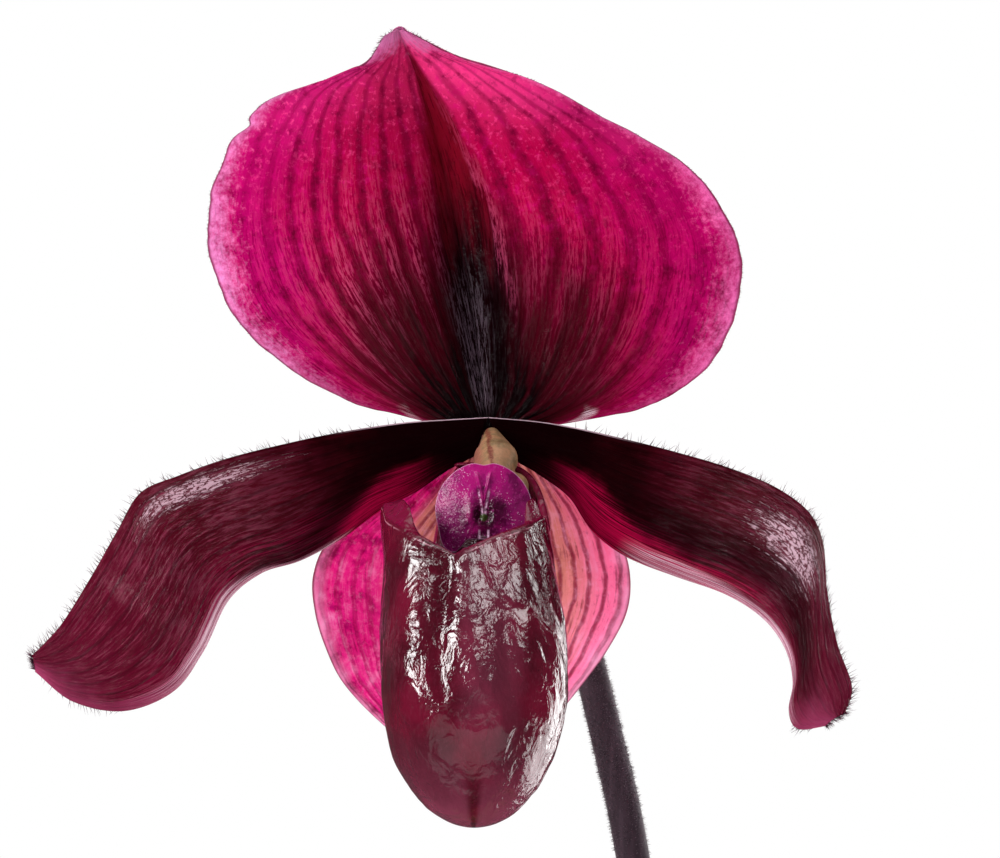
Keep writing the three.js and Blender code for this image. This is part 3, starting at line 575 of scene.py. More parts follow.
def makeDorsal():
    bm = bladeSheet(dorsalPoint, 200, 130, thinMargin(0.75))
    piece = entered("dorsalSepal", bm, dorsalPaint(), "dorsal", "dorsal_sepal")
    thicken(piece, dorsal["thick"], 0)

    draw = random.Random(3)
    roots = []
    for _ in range(dorsal["fuzz"]):
        v = draw.choice((0.0, 1.0))
        u = mixed(0.12, 1, draw.random() ** 0.8)
        place = dorsalPoint(u, v)
        out = (place - dorsalPoint(u, mixed(v, 0.5, 0.1))).normalized()
        lean = out + Vector((draw.uniform(-0.5, 0.5), draw.uniform(-0.8, 0.4), draw.uniform(-0.3, 0.6)))
        roots.append((place, lean.normalized(), draw.uniform(0.16, 0.34) + 0.45 * smooth(0.9, 1, u)))
    for _ in range(dorsal["tipFuzz"]):
        place = dorsalPoint(draw.uniform(0.965, 1), draw.random())
        lean = Vector((draw.uniform(-0.7, 0.7), draw.uniform(-1.2, 0.3), draw.uniform(0.2, 1)))
        roots.append((place, lean.normalized(), draw.uniform(0.3, 0.75)))
    hairCoat("dorsalHairs", roots, hairThick, hairPaint("dorsal hairs", *dorsal["hair"]), "dorsal", 7)
    print("dorsal sepal made")


makeDorsal()

# Petals. Their rows, from the middle of the bloom out, hold:
# upper margin x z, lower edge x z, depth of upper margin, middle and lower edge, roll of the lower margin
petals = {
    "left": [
        (0.1, 0.95, -1.6, -3.9, 0.2, 0.1, 0.2, 0),
        (-5.6, 0.6, -5.6, -6, 0.4, -0.6, 0.3, 0),
        (-10.6, 0.2, -9.2, -8.4, 0.4, -1.8, -0.4, 0),
        (-17.8, -0.9, -13.6, -10.8, -0.6, -3.8, -1.8, 0),
        (-24.6, -2.3, -18, -14.2, -2.4, -5.8, -3.2, 0.6),
        (-32.2, -4.2, -22.8, -17.2, -4.6, -7.8, -5, 2.6),
        (-38.4, -6.4, -27.6, -18.9, -5.8, -9.4, -7.2, 4.4),
        (-43, -8.5, -31.6, -22.4, -6.4, -10.6, -9, 4.8),
        (-45.8, -13.2, -34.7, -28.8, -8, -11.8, -10, 4.2),
        (-48.8, -18.6, -38.4, -33.4, -10, -12.6, -10.6, 2.6),
        (-52.2, -24.2, -44.6, -35.3, -12.2, -13.2, -11.4, 0.4),
        (-54.4, -26.8, -50.8, -34, -13.4, -13.8, -12.8, 0),
        (-56, -28.4, -55.4, -30.2, -14, -14, -13.8, 0),
    ],
    "right": [
        (0.2, 0.95, 2.0, -3.7, 0.2, 0.1, 0.2, 0),
        (6.2, 0.4, 6.6, -6.2, 0.4, -0.6, 0.3, 0),
        (11.4, -0.5, 10.4, -9, 0.3, -1.8, -0.4, 0),
        (17.9, -2, 13.2, -13.2, -0.8, -3.6, -1.6, 0),
        (24.1, -3.6, 17.6, -16.5, -2.4, -5.4, -2.8, 0),
        (30.4, -5.5, 23.4, -19.1, -4.2, -7.2, -4.4, 1.2),
        (36, -7.9, 29.6, -21.6, -5.4, -8.8, -6.4, 3.4),
        (40, -11, 34.2, -24.7, -6.2, -10, -8, 4.6),
        (41.6, -14.8, 36.9, -28.4, -7.2, -10.8, -9, 4.6),
        (42, -20.4, 37.9, -32.4, -8.8, -11.2, -9.4, 3.4),
        (43.2, -26.9, 37.4, -35.6, -10.6, -11.8, -9.8, 1.2),
        (45, -32.2, 38.4, -37.4, -11.6, -12.2, -10.8, 0),
        (44.2, -35.4, 41.6, -36.9, -12.2, -12.2, -11.6, 0),
    ],
    "thick": 0.7,
    "veins": 9,
    "black": colour("0c0102"),
    "wine": colour("3e0612"),
    "claret": colour("5c0c26"),
    "cherry": colour("860836"),
    "flame": colour("b40840"),
    "rose": colour("b04470"),
    "pale": colour("e2bccc"),
    "mauve": colour("6c2c40"),
    "rolls": {"left": (0.79, 0.70), "right": (0.66, 0.72)},  # where the pale margin begins, near and far
    "bands": {"left": 0.45, "right": 0.2},  # how far the dark middle band swings down
    "bandEnds": {"left": (0.6, 0.4), "right": (0.95, 0.75)},
    "paleEnds": {"left": (0.84, 0.64), "right": (0.92, 0.8)},
    # how far out and down the gleams lie, their reach both ways and their strength
    "gleams": {"left": (0.50, 0.12, 0.14, 0.075, 0.5), "right": (0.59, 0.24, 0.11, 0.16, 0.65)},
    # along each margin: v of it and just inside it, how many hairs, and where they start
    "margins": ((0.0, 0.06, 230, 0.16), (1.0, 0.92, 200, 0.35)),
    "tipHairs": 120,
    "seeds": {"left": 11, "right": 12},
    "hairLength": 1.4,
    "hairThick": 0.042,
    "hair": (colour("2a0a18"), colour("5e2a44")),
}


def petalPoint(rows, u, v):
    ux, uz, lx, lz, upper, middle, lower, roll = rowAlong(rows, u)
    rolled = min(roll / 4, 1)
    section = [
        (0, upper),
        (0.25, mixed(upper, middle, 0.72)),
        (0.52, middle),
        (0.78, mixed(lower, middle, 0.62)),
        (0.96 - 0.02 * rolled, mixed(lower, middle, 0.1)),
        (1 - 0.2 * rolled, lower + roll),
    ]
    share, depth = rowAlong(section, v)
    x, z = mixed(ux, lx, share), mixed(uz, lz, share)
    mid = smooth(0, 0.15, u) * smooth(0, 0.12, v) * (1 - smooth(0.95, 1, u))
    depth += mid * 0.5 * rough((x, 0, z), 6, 2, 2.2)
    furrow = math.cos(2 * math.pi * petals["veins"] * v)
    depth += smooth(0.05, 0.2, u) * 0.07 * furrow * (1 - 0.5 * u)
    return hub + Vector((x, depth, z))


def petalPaint(side):
    paint = Paint(side + " petal")
    u, v, _ = paint.parts(paint.uv)
    streak = paint.lumps(paint.stretched(paint.uv, (5, 90, 1)), 1.0, 5, 0.65)
    fine = paint.lumps(paint.stretched(paint.uv, (30, 260, 1)), 1.0, 4, 0.7)
    blotch = paint.lumps(paint.place, 160, 5, 0.6)
    mottle = paint.lumps(paint.stretched(paint.uv, (26, 60, 1)), 1.0, 5, 0.75)
    vellum = paint.lumps(paint.place, 1500, 3, 0.6)

    reach = u + (blotch - 0.5) * 0.4 + (streak - 0.5) * 0.3
    tone = paint.tint(paint.step(reach, 0.15, 0.5), petals["black"], petals["wine"])
    tone = paint.tint(paint.step(reach, 0.45, 1.05) * 0.9, tone, petals["claret"])
    tone = paint.tint(paint.step(mottle, 0.5, 0.75) * paint.step(u, 0.25, 0.6) * 0.55, tone, petals["cherry"])
    band = paint.step(v, 0.42, 0.72) * paint.step(u, 0.04, 0.22) * paint.step(u, 0.75, 0.45, 0.25, 1.0)
    tone = paint.tint(band * paint.step(streak, 0.42, 0.6), tone, petals["cherry"])
    # painted sheen: a mauve haze mottled over the outer part of the blade
    mauveSheen = paint.step(mottle + (blotch - 0.5) * 0.4, 0.46, 0.62) * paint.step(u, 0.25, 0.5)
    tone = paint.tint(mauveSheen * 0.45, tone, petals["mauve"])
    course = paint.step(u, 0.15, 0.42) * petals["bands"][side] + 0.28
    below = v - course + (blotch - 0.5) * 0.2
    hot = paint.step(below, 0.06, 0.22) * paint.step(u, 0.1, 0.22) * paint.step(u, 0.6, 0.42)
    tone = paint.tint(hot * paint.step(streak, 0.38, 0.58) * 0.85, tone, petals["flame"])
    dark = paint.step(streak, 0.44, 0.30) * 0.5 + paint.step(mottle, 0.42, 0.25) * 0.35
    tone = paint.tint(dark, tone, petals["black"])
    middle = paint.step(abs(below), 0.22, 0.04) * paint.step(u, 0.04, 0.18)
    tone = paint.tint(middle * paint.step(u, *petals["bandEnds"][side]) * 0.75, tone, petals["black"])

    # veins, uneven and faint
    wave = abs(paint.maths("FRACT", v * petals["veins"] + (blotch - 0.5) * 0.5) - 0.5)
    vein = paint.step(wave, 0.02, 0.13, 1.0, 0.0) * paint.step(mottle, 0.35, 0.6, 0.3, 1.0)
    tone = paint.tint(vein * 0.45, tone, petals["black"])

    # the margins: rosy tip, and the pale underside that the rolled lower margin shows, with painted highlight
    # streaks along it
    tip = paint.step(u + (blotch - 0.5) * 0.15, 0.82, 1.0) * paint.step(v, 0.2, 0.6)
    tone = paint.tint(tip * 0.5, tone, petals["rose"])
    near, distant = petals["rolls"][side]
    begins = paint.step(u, 0.36, 0.6, near, distant)
    rolled = paint.step(v + (streak - 0.5) * 0.16 - begins, -0.03, 0.04) * paint.step(u, 0.30, 0.38)
    tone = paint.tint(rolled * paint.step(u, 0.95, 0.75, 0.3, 1.0) * 0.4, tone, petals["rose"])
    # pale threads along the rolled margin: partly the underside's colour, partly painted highlight
    threads = paint.step(paint.lumps(paint.stretched(paint.uv, (4, 200, 1)), 1.0, 3, 0.6), 0.46, 0.58)
    pale = threads * rolled * paint.step(u, *petals["paleEnds"][side])
    tone = paint.tint(pale * 0.9, tone, petals["pale"])

    # the shoulder of the blade has a crackled gleam
    gone, down, reach, spread, strength = petals["gleams"][side]
    far = paint.length(paint.spot((u - gone) / reach, (v - down) / spread))
    crackle = abs(paint.lumps(paint.stretched(paint.uv, (46, 34, 1)), 1.0, 4, 0.6) - 0.5)
    gleam = paint.step(far + (mottle - 0.5) * 3.0 + (fine - 0.5) * 1.6, 0.95, 0.35)
    tone = paint.tint(gleam * paint.step(crackle, 0.01, 0.06) * strength, tone, petals["pale"])

    # the upper margin catches the light near the middle of the bloom
    glint = paint.step(v, 0.02, 0.006) * paint.step(u, 0.28, 0.16) * paint.step(streak, 0.35, 0.5, 0.3, 1.0)
    tone = paint.tint(glint * 0.8, tone, petals["pale"])

    height = streak * 0.5 + fine * 0.25 + mottle * 0.45 + vellum * 0.12 - vein * 0.3
    normal = paint.relief(height, 0.26 * mm)
    wax = paint.step(fine, 0.42, 0.58) * paint.step(mottle, 0.4, 0.6, 0.1, 0.7)
    skin = paint.waxed(tone, normal, wax * paint.step(u, 0.3, 0.5, 0.03, 1.0), 0.16)
    return paint.done(paint.glow(skin, petals["claret"], 0.1, normal))


def petalHairs(rows, side, paintHair):
    draw = random.Random(petals["seeds"][side])
    roots = []
    for v, inner, count, start in petals["margins"]:
        for _ in range(count):
            u = mixed(start, 1.0, draw.random() ** 0.85)
            place = petalPoint(rows, u, v)
            out = (place - petalPoint(rows, u, inner)).normalized()
            along = petalPoint(rows, min(u + 0.02, 1), v) - petalPoint(rows, max(u - 0.02, 0), v)
            along.normalize()
            lean = out + along * draw.uniform(-0.35, 0.6) + Vector((0, draw.uniform(-0.8, 0.5), 0))
            length = petals["hairLength"] * draw.uniform(0.45, 1.15)
            roots.append((place, lean.normalized(), length))
    for _ in range(petals["tipHairs"]):
        place = petalPoint(rows, 1.0, draw.random())
        out = (place - petalPoint(rows, 0.9, 0.5)).normalized()
        lean = out + Vector((draw.uniform(-0.6, 0.6), draw.uniform(-0.8, 0.4), 0))
        roots.append((place, lean.normalized(), petals["hairLength"] * draw.uniform(0.4, 0.9)))
    hairCoat(side + "PetalHairs", roots, petals["hairThick"], paintHair, "petal", 21)


def makePetals():
    darkHair = hairPaint("petal hairs", *petals["hair"])
    for side in ("left", "right"):
        rows = petals[side]
        bm = bladeSheet(lambda u, v: petalPoint(rows, u, v), 170, 90, thinMargin(0.6))
        piece = entered(side + "Petal", bm, petalPaint(side), "petal", "petal_" + side)
        thicken(piece, petals["thick"], 0)
        petalHairs(rows, side, darkHair)
    print("petals made")


makePetals()

# Synsepal. Its rows, from the top down, hold:
# z, left margin x, right margin x, depth of middle and margins
synsepal = {
    "rows": [
        (-1.3, -3.4, 3.8, 1.9, 1.9),
        (-5.6, -8.4, 9, 2.6, 2.2),
        (-10, -14.4, 13.6, 3.6, 2.2),
        (-14.4, -19.8, 16.6, 4.4, 2.2),
        (-18.8, -21.8, 17.9, 4.9, 2.2),
        (-23.4, -21.6, 17.5, 5, 2.4),
        (-28, -20.2, 15.2, 4.6, 2.4),
        (-32.4, -18, 12, 3.8, 2.2),
        (-37, -13.6, 8.2, 2.6, 1.6),
        (-41.4, -8, 4, 1.2, 0.6),
        (-44.6, -2.6, 0.6, 0, -0.2),
    ],
    "thick": 0.8,
    "veins": 20,
    "magenta": colour("dc1490"),
    "rose": colour("e440a2"),
    "pink": colour("ee8cb4"),
    "tan": colour("cc947e"),
    "vein": colour("7e0c3a"),
    "pale": colour("eab8d4"),
    "plum": colour("98046a"),
}


def synsepalPoint(u, v):
    z, lx, rx, middle, edge = rowAlong(synsepal["rows"], u)
    side = 2 * v - 1
    depth = mixed(middle, edge, side * side)
    x = mixed(lx, rx, v)
    mid = smooth(0, 0.2, u)
    depth += mid * 0.5 * rough((x, 3, z), 6, 2, 4.4)
    depth += mid * 0.12 * math.cos(2 * math.pi * synsepal["veins"] * v)
    return hub + Vector((x, depth, z))


def synsepalPaint():
    paint = Paint("synsepal")
    _, v, _ = paint.parts(paint.uv)
    side = abs(v * 2 - 1)
    streak = paint.lumps(paint.stretched(paint.uv, (7, 80, 1)), 1.0, 5, 0.65)
    blotch = paint.lumps(paint.place, 380, 5, 0.65)
    fleck = paint.lumps(paint.place, 1200, 4, 0.7)
    across = paint.step(v + (blotch - 0.5) * 0.06, 0.20, 0.28)
    tone = paint.tint(paint.step(blotch, 0.35, 0.7), synsepal["magenta"], synsepal["rose"])
    tone = paint.tint(paint.step(blotch, 0.47, 0.34) * 0.7, tone, synsepal["plum"])
    tone = paint.tint(across, tone, synsepal["pink"])
    inner = across * paint.step(side + (streak - 0.5) * 0.4, 0.9, 0.5)
    tone = paint.tint(inner * 0.85, tone, synsepal["tan"])
    wobble = (paint.lumps(paint.stretched(paint.uv, (6, 5, 1)), 1.0, 4) - 0.5) * 1.1
    wave = abs(paint.maths("FRACT", v * synsepal["veins"] + wobble) - 0.5)
    vein = paint.step(wave, 0.03, 0.18, 1.0, 0.0) * (0.5 + streak * 0.8)
    tone = paint.tint(vein * (0.4 + across * 0.5), tone, synsepal["vein"])
    tone = paint.tint(paint.step(streak + (blotch - 0.5) * 0.8, 0.52, 0.74) * 0.45, tone, synsepal["pale"])
    tone = paint.tint(paint.step(streak + (blotch - 0.5) * 0.6, 0.46, 0.3) * 0.6, tone, synsepal["vein"])
    # pale lumps, mostly on the left: the sepal's own mottling, with painted rim light on its folds
    tone = paint.tint(paint.step(blotch, 0.56, 0.70) * (1 - across * 0.7) * 0.5, tone, synsepal["pale"])
    tone = paint.tint(paint.step(fleck, 0.5, 0.75) * 0.4, tone, synsepal["pale"])
    tone = paint.tint(paint.step(fleck, 0.45, 0.25) * 0.35, tone, synsepal["vein"])
    fringe = paint.step(side + (blotch - 0.5) * 0.2, 0.88, 1.02)
    tone = paint.tint(fringe * 0.75, tone, synsepal["pale"])
    tone = paint.tint(paint.step(side, 0.982, 0.998) * 0.8, tone, synsepal["vein"])
    normal = paint.relief(streak * 0.5 + blotch * 0.9 + fleck * 0.4 - vein * 0.6, 0.42 * mm)
    skin = paint.waxed(tone, normal, 0.3, 0.3)
    return paint.done(paint.glow(skin, tone, 0.5, normal))


def makeSynsepal():
    bm = bladeSheet(synsepalPoint, 110, 90, thinMargin(0.75))
    piece = entered("synsepal", bm, synsepalPaint(), "synsepal", "synsepal")
    thicken(piece, synsepal["thick"], 0)
    print("synsepal made")


makeSynsepal()

# Pouch

pouch = {
    "waist": -31,
    "notch": -16,
    "notchTurn": -9,
    "clawRise": 11,
    "wall": 0.9,
    # degrees round to the ear, its rise and tip, the infolded lobe and its lift, where the lobe starts,
    # is full and sinks again, and how far the claw behind spreads
    "left": {
        "ear": 86, "rise": 5.0, "tip": 1.2, "lip": 1.1, "lift": 0.062, "lobe": (30, 60, 66, 94), "claw": 20,
    },
    "right": {
        "ear": 70, "rise": 4.3, "tip": 0.3, "lip": 0.6, "lift": 0.065, "lobe": (48, 60, 72, 94), "claw": 85,
    },
    # z, middle x, half width, front wall y, back wall y
    "rows": [
        (-49.2, -1.6, 11.5, -28.6, -12),
        (-40, -1.6, 11.5, -31, -10),
        (-31, -1.55, 11.5, -30.4, -9),
        (-24, -1.75, 11.25, -28, -8.4),
        (-16.5, -2.25, 10.55, -24.6, -6.4),
        (-11.6, -2.7, 10.4, -22.8, -3),
        (-5, -2.2, 10, -21.6, 0),
    ],
    "middle": (-1.6, -19),
    "around": 260,
    "along": 190,
    "skin": colour("54071e"),
    "deep": colour("340410"),
    "mauve": colour("6a2c40"),
    "lobe": colour("5c0a26"),
    "inside": colour("360618"),
    # pale rose of the painted highlight along the rim
    "rim": colour("b47c8c"),
}


def pouchShell(turn, climb, inset):
    side = pouch["left" if turn < 0 else "right"]
    around = math.degrees(abs(turn))
    fromNotch = turn - math.radians(pouch["notchTurn"])
    fall = 1 - smooth(side["ear"] + 3, side["ear"] + 22, around)
    ears = (side["tip"] * math.exp(-((around - side["ear"]) / 12) ** 2)
            + side["rise"] * abs(math.sin(fromNotch)) ** 0.9) * fall
    claw = pouch["clawRise"] * math.exp(-((180 - around) / side["claw"]) ** 4) * (1 - fall)
    rows = pouch["rows"]
    toe = rows[0][0]
    z = mixed(toe, pouch["notch"] + ears + claw, climb)
    last = len(rows) - 1
    above = next((k for k, row in enumerate(rows) if z < row[0]), -1)
    above = min(max(above, 1), last)
    share = (z - rows[above - 1][0]) / (rows[above][0] - rows[above - 1][0])
    _, middle, half, front, back = rowAlong(rows, (above - 1 + share) / last)
    drop = max((pouch["waist"] - z) / (pouch["waist"] - toe), 0)
    close = math.sqrt(max(1 - drop * drop, 0))
    acrossHalf = max(half * close - inset, 0)
    deepHalf = max((back - front) / 2 * close ** 0.75 - inset, 0)
    return Vector((middle + acrossHalf * math.sin(turn), (front + back) / 2 - deepHalf * math.cos(turn),
                   z + inset * (1 - climb)))


def pouchSection(s, turn):
    # from the toe up the outside, over the rolled rim and down the inside
    side = pouch["left" if turn < 0 else "right"]
    around = math.degrees(abs(turn))
    start, full, sinks, gone = side["lobe"]
    folded = smooth(start, full, around)
    wall = pouch["wall"]
    lip = wall + side["lip"] * folded * (1 - smooth(side["ear"] + 12, side["ear"] + 30, around))
    rise = side["lift"] * folded * (1 - smooth(sinks, gone, around))
    rim = [(0.985, 0), (1.0, 0.06), (1.008, wall / 2), (1 + rise, lip), (0.982 + rise, lip), (0.965, wall)]
    if s < 0.56:
        return 0.985 * (1 - math.cos(s / 0.56 * math.pi / 2)), 0.0
    if s < 0.70:
        return rowAlong(rim, (s - 0.56) / 0.14)
    return 0.965 * (1 - math.cos((1 - s) / 0.30 * math.pi / 2)), wall


def pouchFolds(point, degrees):
    # how far the outer skin stands out, from the creases that run down from the rim
    z = point.z
    creaseAt = mixed(-14, -22, smooth(-17, -28, z))
    ridgeAt = -4 + 22 * smooth(-26, -37, z)
    flank = smooth(45, 70, abs(degrees)) * (1 - smooth(115, 140, abs(degrees)))
    fold = -0.5 * bump(degrees, creaseAt, 6) * smooth(-35, -26, z)
    fold += 0.5 * bump(degrees, ridgeAt, 9) * smooth(-45, -36, z)
    fold += 0.5 * bump(degrees, -42, 14) * smooth(-40, -30, z)
    fold -= 0.38 * bump(degrees, 22, 7) * smooth(-37, -30, z) * (1 - smooth(-23, -19, z))
    fold += 0.34 * bump(degrees, 38, 8) * smooth(-39, -29, z)
    fold += 0.13 * rough((point.x, point.y, z * 0.7), 4, 3, 3.0)
    fold += 0.05 * rough((point.x, point.y, z * 0.6), 1.5, 3, 8.0)
    return fold + flank * 0.16 * rough((point.x, point.y, z * 0.25), 2, 2, 6.0)


def pouchPoint(s, turn):
    turn = turn - math.pi  # the seam is at the back
    climb, inset = pouchSection(s, turn)
    point = pouchShell(turn, climb, inset)
    if s < 0.60:
        free = smooth(0, 0.05, s) * (1 - smooth(0.55, 0.60, s))
        free *= 1 - smooth(130, 165, math.degrees(abs(turn)))
        away = (point - Vector((*pouch["middle"], point.z))).normalized()
        point += away * free * pouchFolds(point, math.degrees(turn))
    return hub + point


def pouchPaint():
    paint = Paint("pouch skin")
    s, turn, _ = paint.parts(paint.uv)
    tall = paint.stretched(paint.place, (1, 1, 0.62))
    broad = paint.lumps(paint.place, 130, 3, 0.5)
    grain = paint.lumps(tall, 2600, 3, 0.6)
    crinkle = paint.creases(tall, 430, 4, 0.5, 0.5)
    wrinkle = paint.lumps(tall, 460, 4, 0.6, 0.6)
    tone = paint.tint(paint.step(broad, 0.35, 0.7), pouch["deep"], pouch["skin"])
    # painted reflection: soft mauve patches on the toe stand in for the floor's light mirrored there, on a
    # toe that is also a little paler
    toe = paint.step(s + (broad - 0.5) * 0.12, 0.08, 0.34, 1.0, 0.0) * paint.step(broad, 0.3, 0.5, 0.6, 1.0)
    toe *= paint.step(abs(turn - 0.5 + (broad - 0.5) * 0.02), 0.004, 0.03)  # dark down its middle
    tone = paint.tint(toe * 0.8, tone, pouch["mauve"])
    tone = paint.tint(paint.step(grain, 0.48, 0.72) * 0.15, tone, pouch["mauve"])
    # painted sheen: a soft mauve band down the front of the pouch, above the toe, standing in for the gloss's
    # broad reflection
    frontSheen = paint.step(abs(turn - 0.53 + (broad - 0.5) * 0.06), 0.075, 0.03) * paint.step(s, 0.24, 0.38)
    tone = paint.tint(frontSheen * 0.35, tone, pouch["mauve"])
    tone = paint.tint(paint.step(s, 0.585, 0.61), tone, pouch["lobe"])
    tone = paint.tint(paint.step(s, 0.69, 0.72), tone, pouch["inside"])
    # painted highlight: a thin pale-rose line along the rolled rim, broken by the wrinkles
    rim = paint.step(abs(s - 0.574 + (wrinkle - 0.5) * 0.02), 0.006, 0.001)
    rim *= paint.step(abs(turn - 0.5), 0.3, 0.25) * paint.step(wrinkle, 0.4, 0.6)
    tone = paint.tint(rim * 0.5, tone, pouch["rim"])
    normal = paint.relief(crinkle * 0.5 + wrinkle * 0.6 + grain * 0.06, 0.14 * mm)
    skin = paint.skin(tone, 0.1 + (grain - 0.5) * 0.08, normal, Specular_IOR_Level=0.5)
    return paint.done(skin)


def makePouch():
    bm = wrapped(pouchPoint, pouch["along"], pouch["around"])
    entered("pouch", bm, pouchPaint(), "pouch", "pouch")
    print("pouch made")


makePouch()

# Staminode and column

shield = {
    "centre": (-0.4, -11.4, -10.2),
    "halfWidth": 6,
    "halfHeight": 5.6,
    "thick": 1.0,
    "lean": 8,
    "foot": 0.71,  # how far down the cut foot is, as a share of the half height
    "purple": colour("7e0f56"),
    "plum": colour("2c0318"),
    "rose": colour("9a2c72"),
    "cerise": colour("98105f"),
    # pale pink of the painted glints and highlights, and of the two pale lines under the pit
    "paleAndGlint": colour("d8a8c8"),
    "knob": colour("323818"),
}


def shieldReach(turn):
    # the outline, heart-like: a dent at the head, two lobes and a cut foot below
    fromFoot = math.pi - abs(turn)
    lobes = 1 - 0.07 * bump(turn, 0, 0.16) + 0.2 * bump(fromFoot, 0.68, 0.33)
    if fromFoot > 0.54:
        return lobes
    return mixed(shield["foot"] / math.cos(fromFoot), lobes, smooth(0.44, 0.54, fromFoot))


def shieldFace(x, z, radius):
    # how far the face stands forward: a knob in a pit, with two ridges that run up from it
    r = x * x + (z + 1.2) ** 2
    out = 0.55 * math.exp(-(x * x / 0.14 + (z + 1.2) ** 2 / 0.4)) - 0.65 * math.exp(-r / 0.8)
    ridge = 0.14 + 0.23 * max(z - 1.2, 0)
    out += 0.3 * bump(abs(x), ridge, 0.2) * smooth(-0.2, 1.2, z) * (1 - smooth(3.6, 4.8, z))
    out += 0.35 * bump(abs(x), 1.5, 0.8) * smooth(-3, -1, z) * (1 - smooth(0.5, 2.5, z))
    out -= 0.35 * math.exp(-(x * x / 0.5 + (z + 3.3) ** 2 / 0.5))
    return out + 0.1 * rough((x, z, 0), 0.9, 3, 6.0) * (1 - radius)


def shieldPoint(u, turn):
    # u runs from the middle of the face, over the rim, to the middle of the back
    turn = turn - math.pi
    front = u < 0.5
    radius = min(u * 2.08 if front else (1 - u) * 2.08, 1.0)
    reach = radius * shieldReach(turn)
    x = shield["halfWidth"] * reach * math.sin(turn)
    z = shield["halfHeight"] * reach * math.cos(turn)
    dish = 0.05 * x * x - 0.02 * z * z
    thick = mixed(shield["thick"], 0.35, radius ** 2) * 0.5
    y = dish + (-thick - shieldFace(x, z, radius) if front else thick)
    lean = math.radians(-shield["lean"])
    turned = Vector((x, y * math.cos(lean) - z * math.sin(lean), y * math.sin(lean) + z * math.cos(lean)))
    return hub + Vector(shield["centre"]) + turned


def shieldPaint():
    paint = Paint("staminode")
    u, _, _ = paint.parts(paint.uv)
    x, _, z = paint.parts(paint.place)
    across = (x - (hub.x - 0.4) * mm) / mm
    up = (z - (hub.z - 11.4) * mm) / mm
    fromKnob = paint.length(paint.spot(across, up))
    dots = paint.cells(paint.place, 3400)
    sugar = paint.lumps(paint.place, 2400, 3, 0.7)
    broad = paint.lumps(paint.place, 380, 4, 0.6)
    pit = paint.step(fromKnob + (broad - 0.5) * 3.2, 0.8, 4.4)
    tone = paint.tint(pit, shield["plum"], shield["purple"])
    below = paint.step(up + (broad - 0.5) * 1.5, -1.0, -2.4) * paint.step(abs(across), 2.6, 1.0)
    tone = paint.tint(below * 0.6, tone, shield["plum"])
    tone = paint.tint(paint.step(up + (broad - 0.5) * 3, 0.5, -4.5) * 0.5, tone, shield["plum"])
    tone = paint.tint(paint.step(broad, 0.48, 0.32) * 0.55, tone, shield["plum"])
    tone = paint.tint(paint.step(broad + up * 0.03, 0.5, 0.72) * 0.6, tone, shield["cerise"])
    tone = paint.tint(paint.step(sugar, 0.52, 0.7) * 0.45, tone, shield["rose"])
    # painted glints: small pale sparkle dots on both sides of the pit
    zone = paint.step(abs(across) + (broad - 0.5) * 1.5, 1.3, 2.4) * paint.step(fromKnob, 1.6, 3.0)
    sparkleDots = paint.step(dots, 0.24, 0.12) * zone * paint.step(broad, 0.4, 0.6)
    tone = paint.tint(sparkleDots * 0.8, tone, shield["paleAndGlint"])
    lines = paint.step(abs(abs(across) - 0.55), 0.2, 0.06) * paint.step(abs(up + 2.1), 0.7, 0.4)
    tone = paint.tint(lines * 0.6, tone, shield["paleAndGlint"])
    # painted highlight along the two ridges that run up from the knob
    ridge = abs(abs(across) - 0.2 - paint.maths("MAXIMUM", up - 1.0, 0.0) * 0.2)
    crest = paint.step(ridge, 0.2, 0.05) * paint.step(abs(up - 1.7), 1.9, 1.2)
    tone = paint.tint(crest * paint.step(sugar, 0.35, 0.6) * 0.75, tone, shield["paleAndGlint"])
    # painted highlight: a thin pale line round the rim
    rim = paint.step(abs(u - 0.5), 0.03, 0.014)
    tone = paint.tint(rim * 0.6, tone, shield["paleAndGlint"])
    tone = paint.tint(paint.step(fromKnob, 0.6, 0.35), tone, shield["knob"])
    normal = paint.relief(paint.step(dots, 0.0, 0.6, 1.0, 0.0) * 0.6 + sugar * 0.7 + broad * 0.5, 0.05 * mm)
    skin = paint.skin(tone, 0.2 + (sugar - 0.5) * 0.2, normal, Specular_IOR_Level=0.15)
    return paint.done(skin)


column = {
    # the body's two cones: start, end, and the radius at each
    "body": (
        ((0.5, -0.6, -0.9), (1.1, -4.6, -4.2), 0.8, 2.8),
        ((1.1, -4.6, -4.2), (0.4, -8.2, -7.0), 2.8, 2.2),
    ),
    "anthers": (((-3.3, -6.4, -7.8), 1.6), ((3.5, -6.4, -7.8), 1.9)),
    "stigma": (0, -7.9, -10.6),
    "voxel": 0.22,
    "tan": colour("966c50"),
    "olive": colour("6c583c"),
    "rose": colour("7e443e"),
    "groove": colour("5c1a18"),
}


def columnPaint():
    paint = Paint("column")
    x, _, z = paint.parts(paint.place)
    blotch = paint.lumps(paint.place, 620, 5, 0.65)
    grain = paint.lumps(paint.place, 2000, 4, 0.65)
    down = (hub.z * mm - z) / mm
    offset = (x - hub.x * mm) / mm - down * 0.12 + (blotch - 0.5) * 1.4
    greener = paint.step(blotch + (grain - 0.5) * 0.3, 0.35, 0.68)
    tone = paint.tint(greener, column["tan"], column["olive"])
    tone = paint.tint(paint.step(offset, -0.5, -1.8) * 0.75, tone, column["rose"])
    line = paint.step(abs(offset), 0.42, 0.1) * paint.step(grain, 0.3, 0.55, 0.4, 1.0)
    tone = paint.tint(line * 0.85, tone, column["groove"])
    tone = paint.tint(paint.step(blotch, 0.58, 0.72) * 0.4, tone, column["groove"])
    normal = paint.relief(blotch * 0.6 + grain * 0.5, 0.2 * mm)
    return paint.done(paint.skin(tone, 0.4, normal, Specular_IOR_Level=0.3))


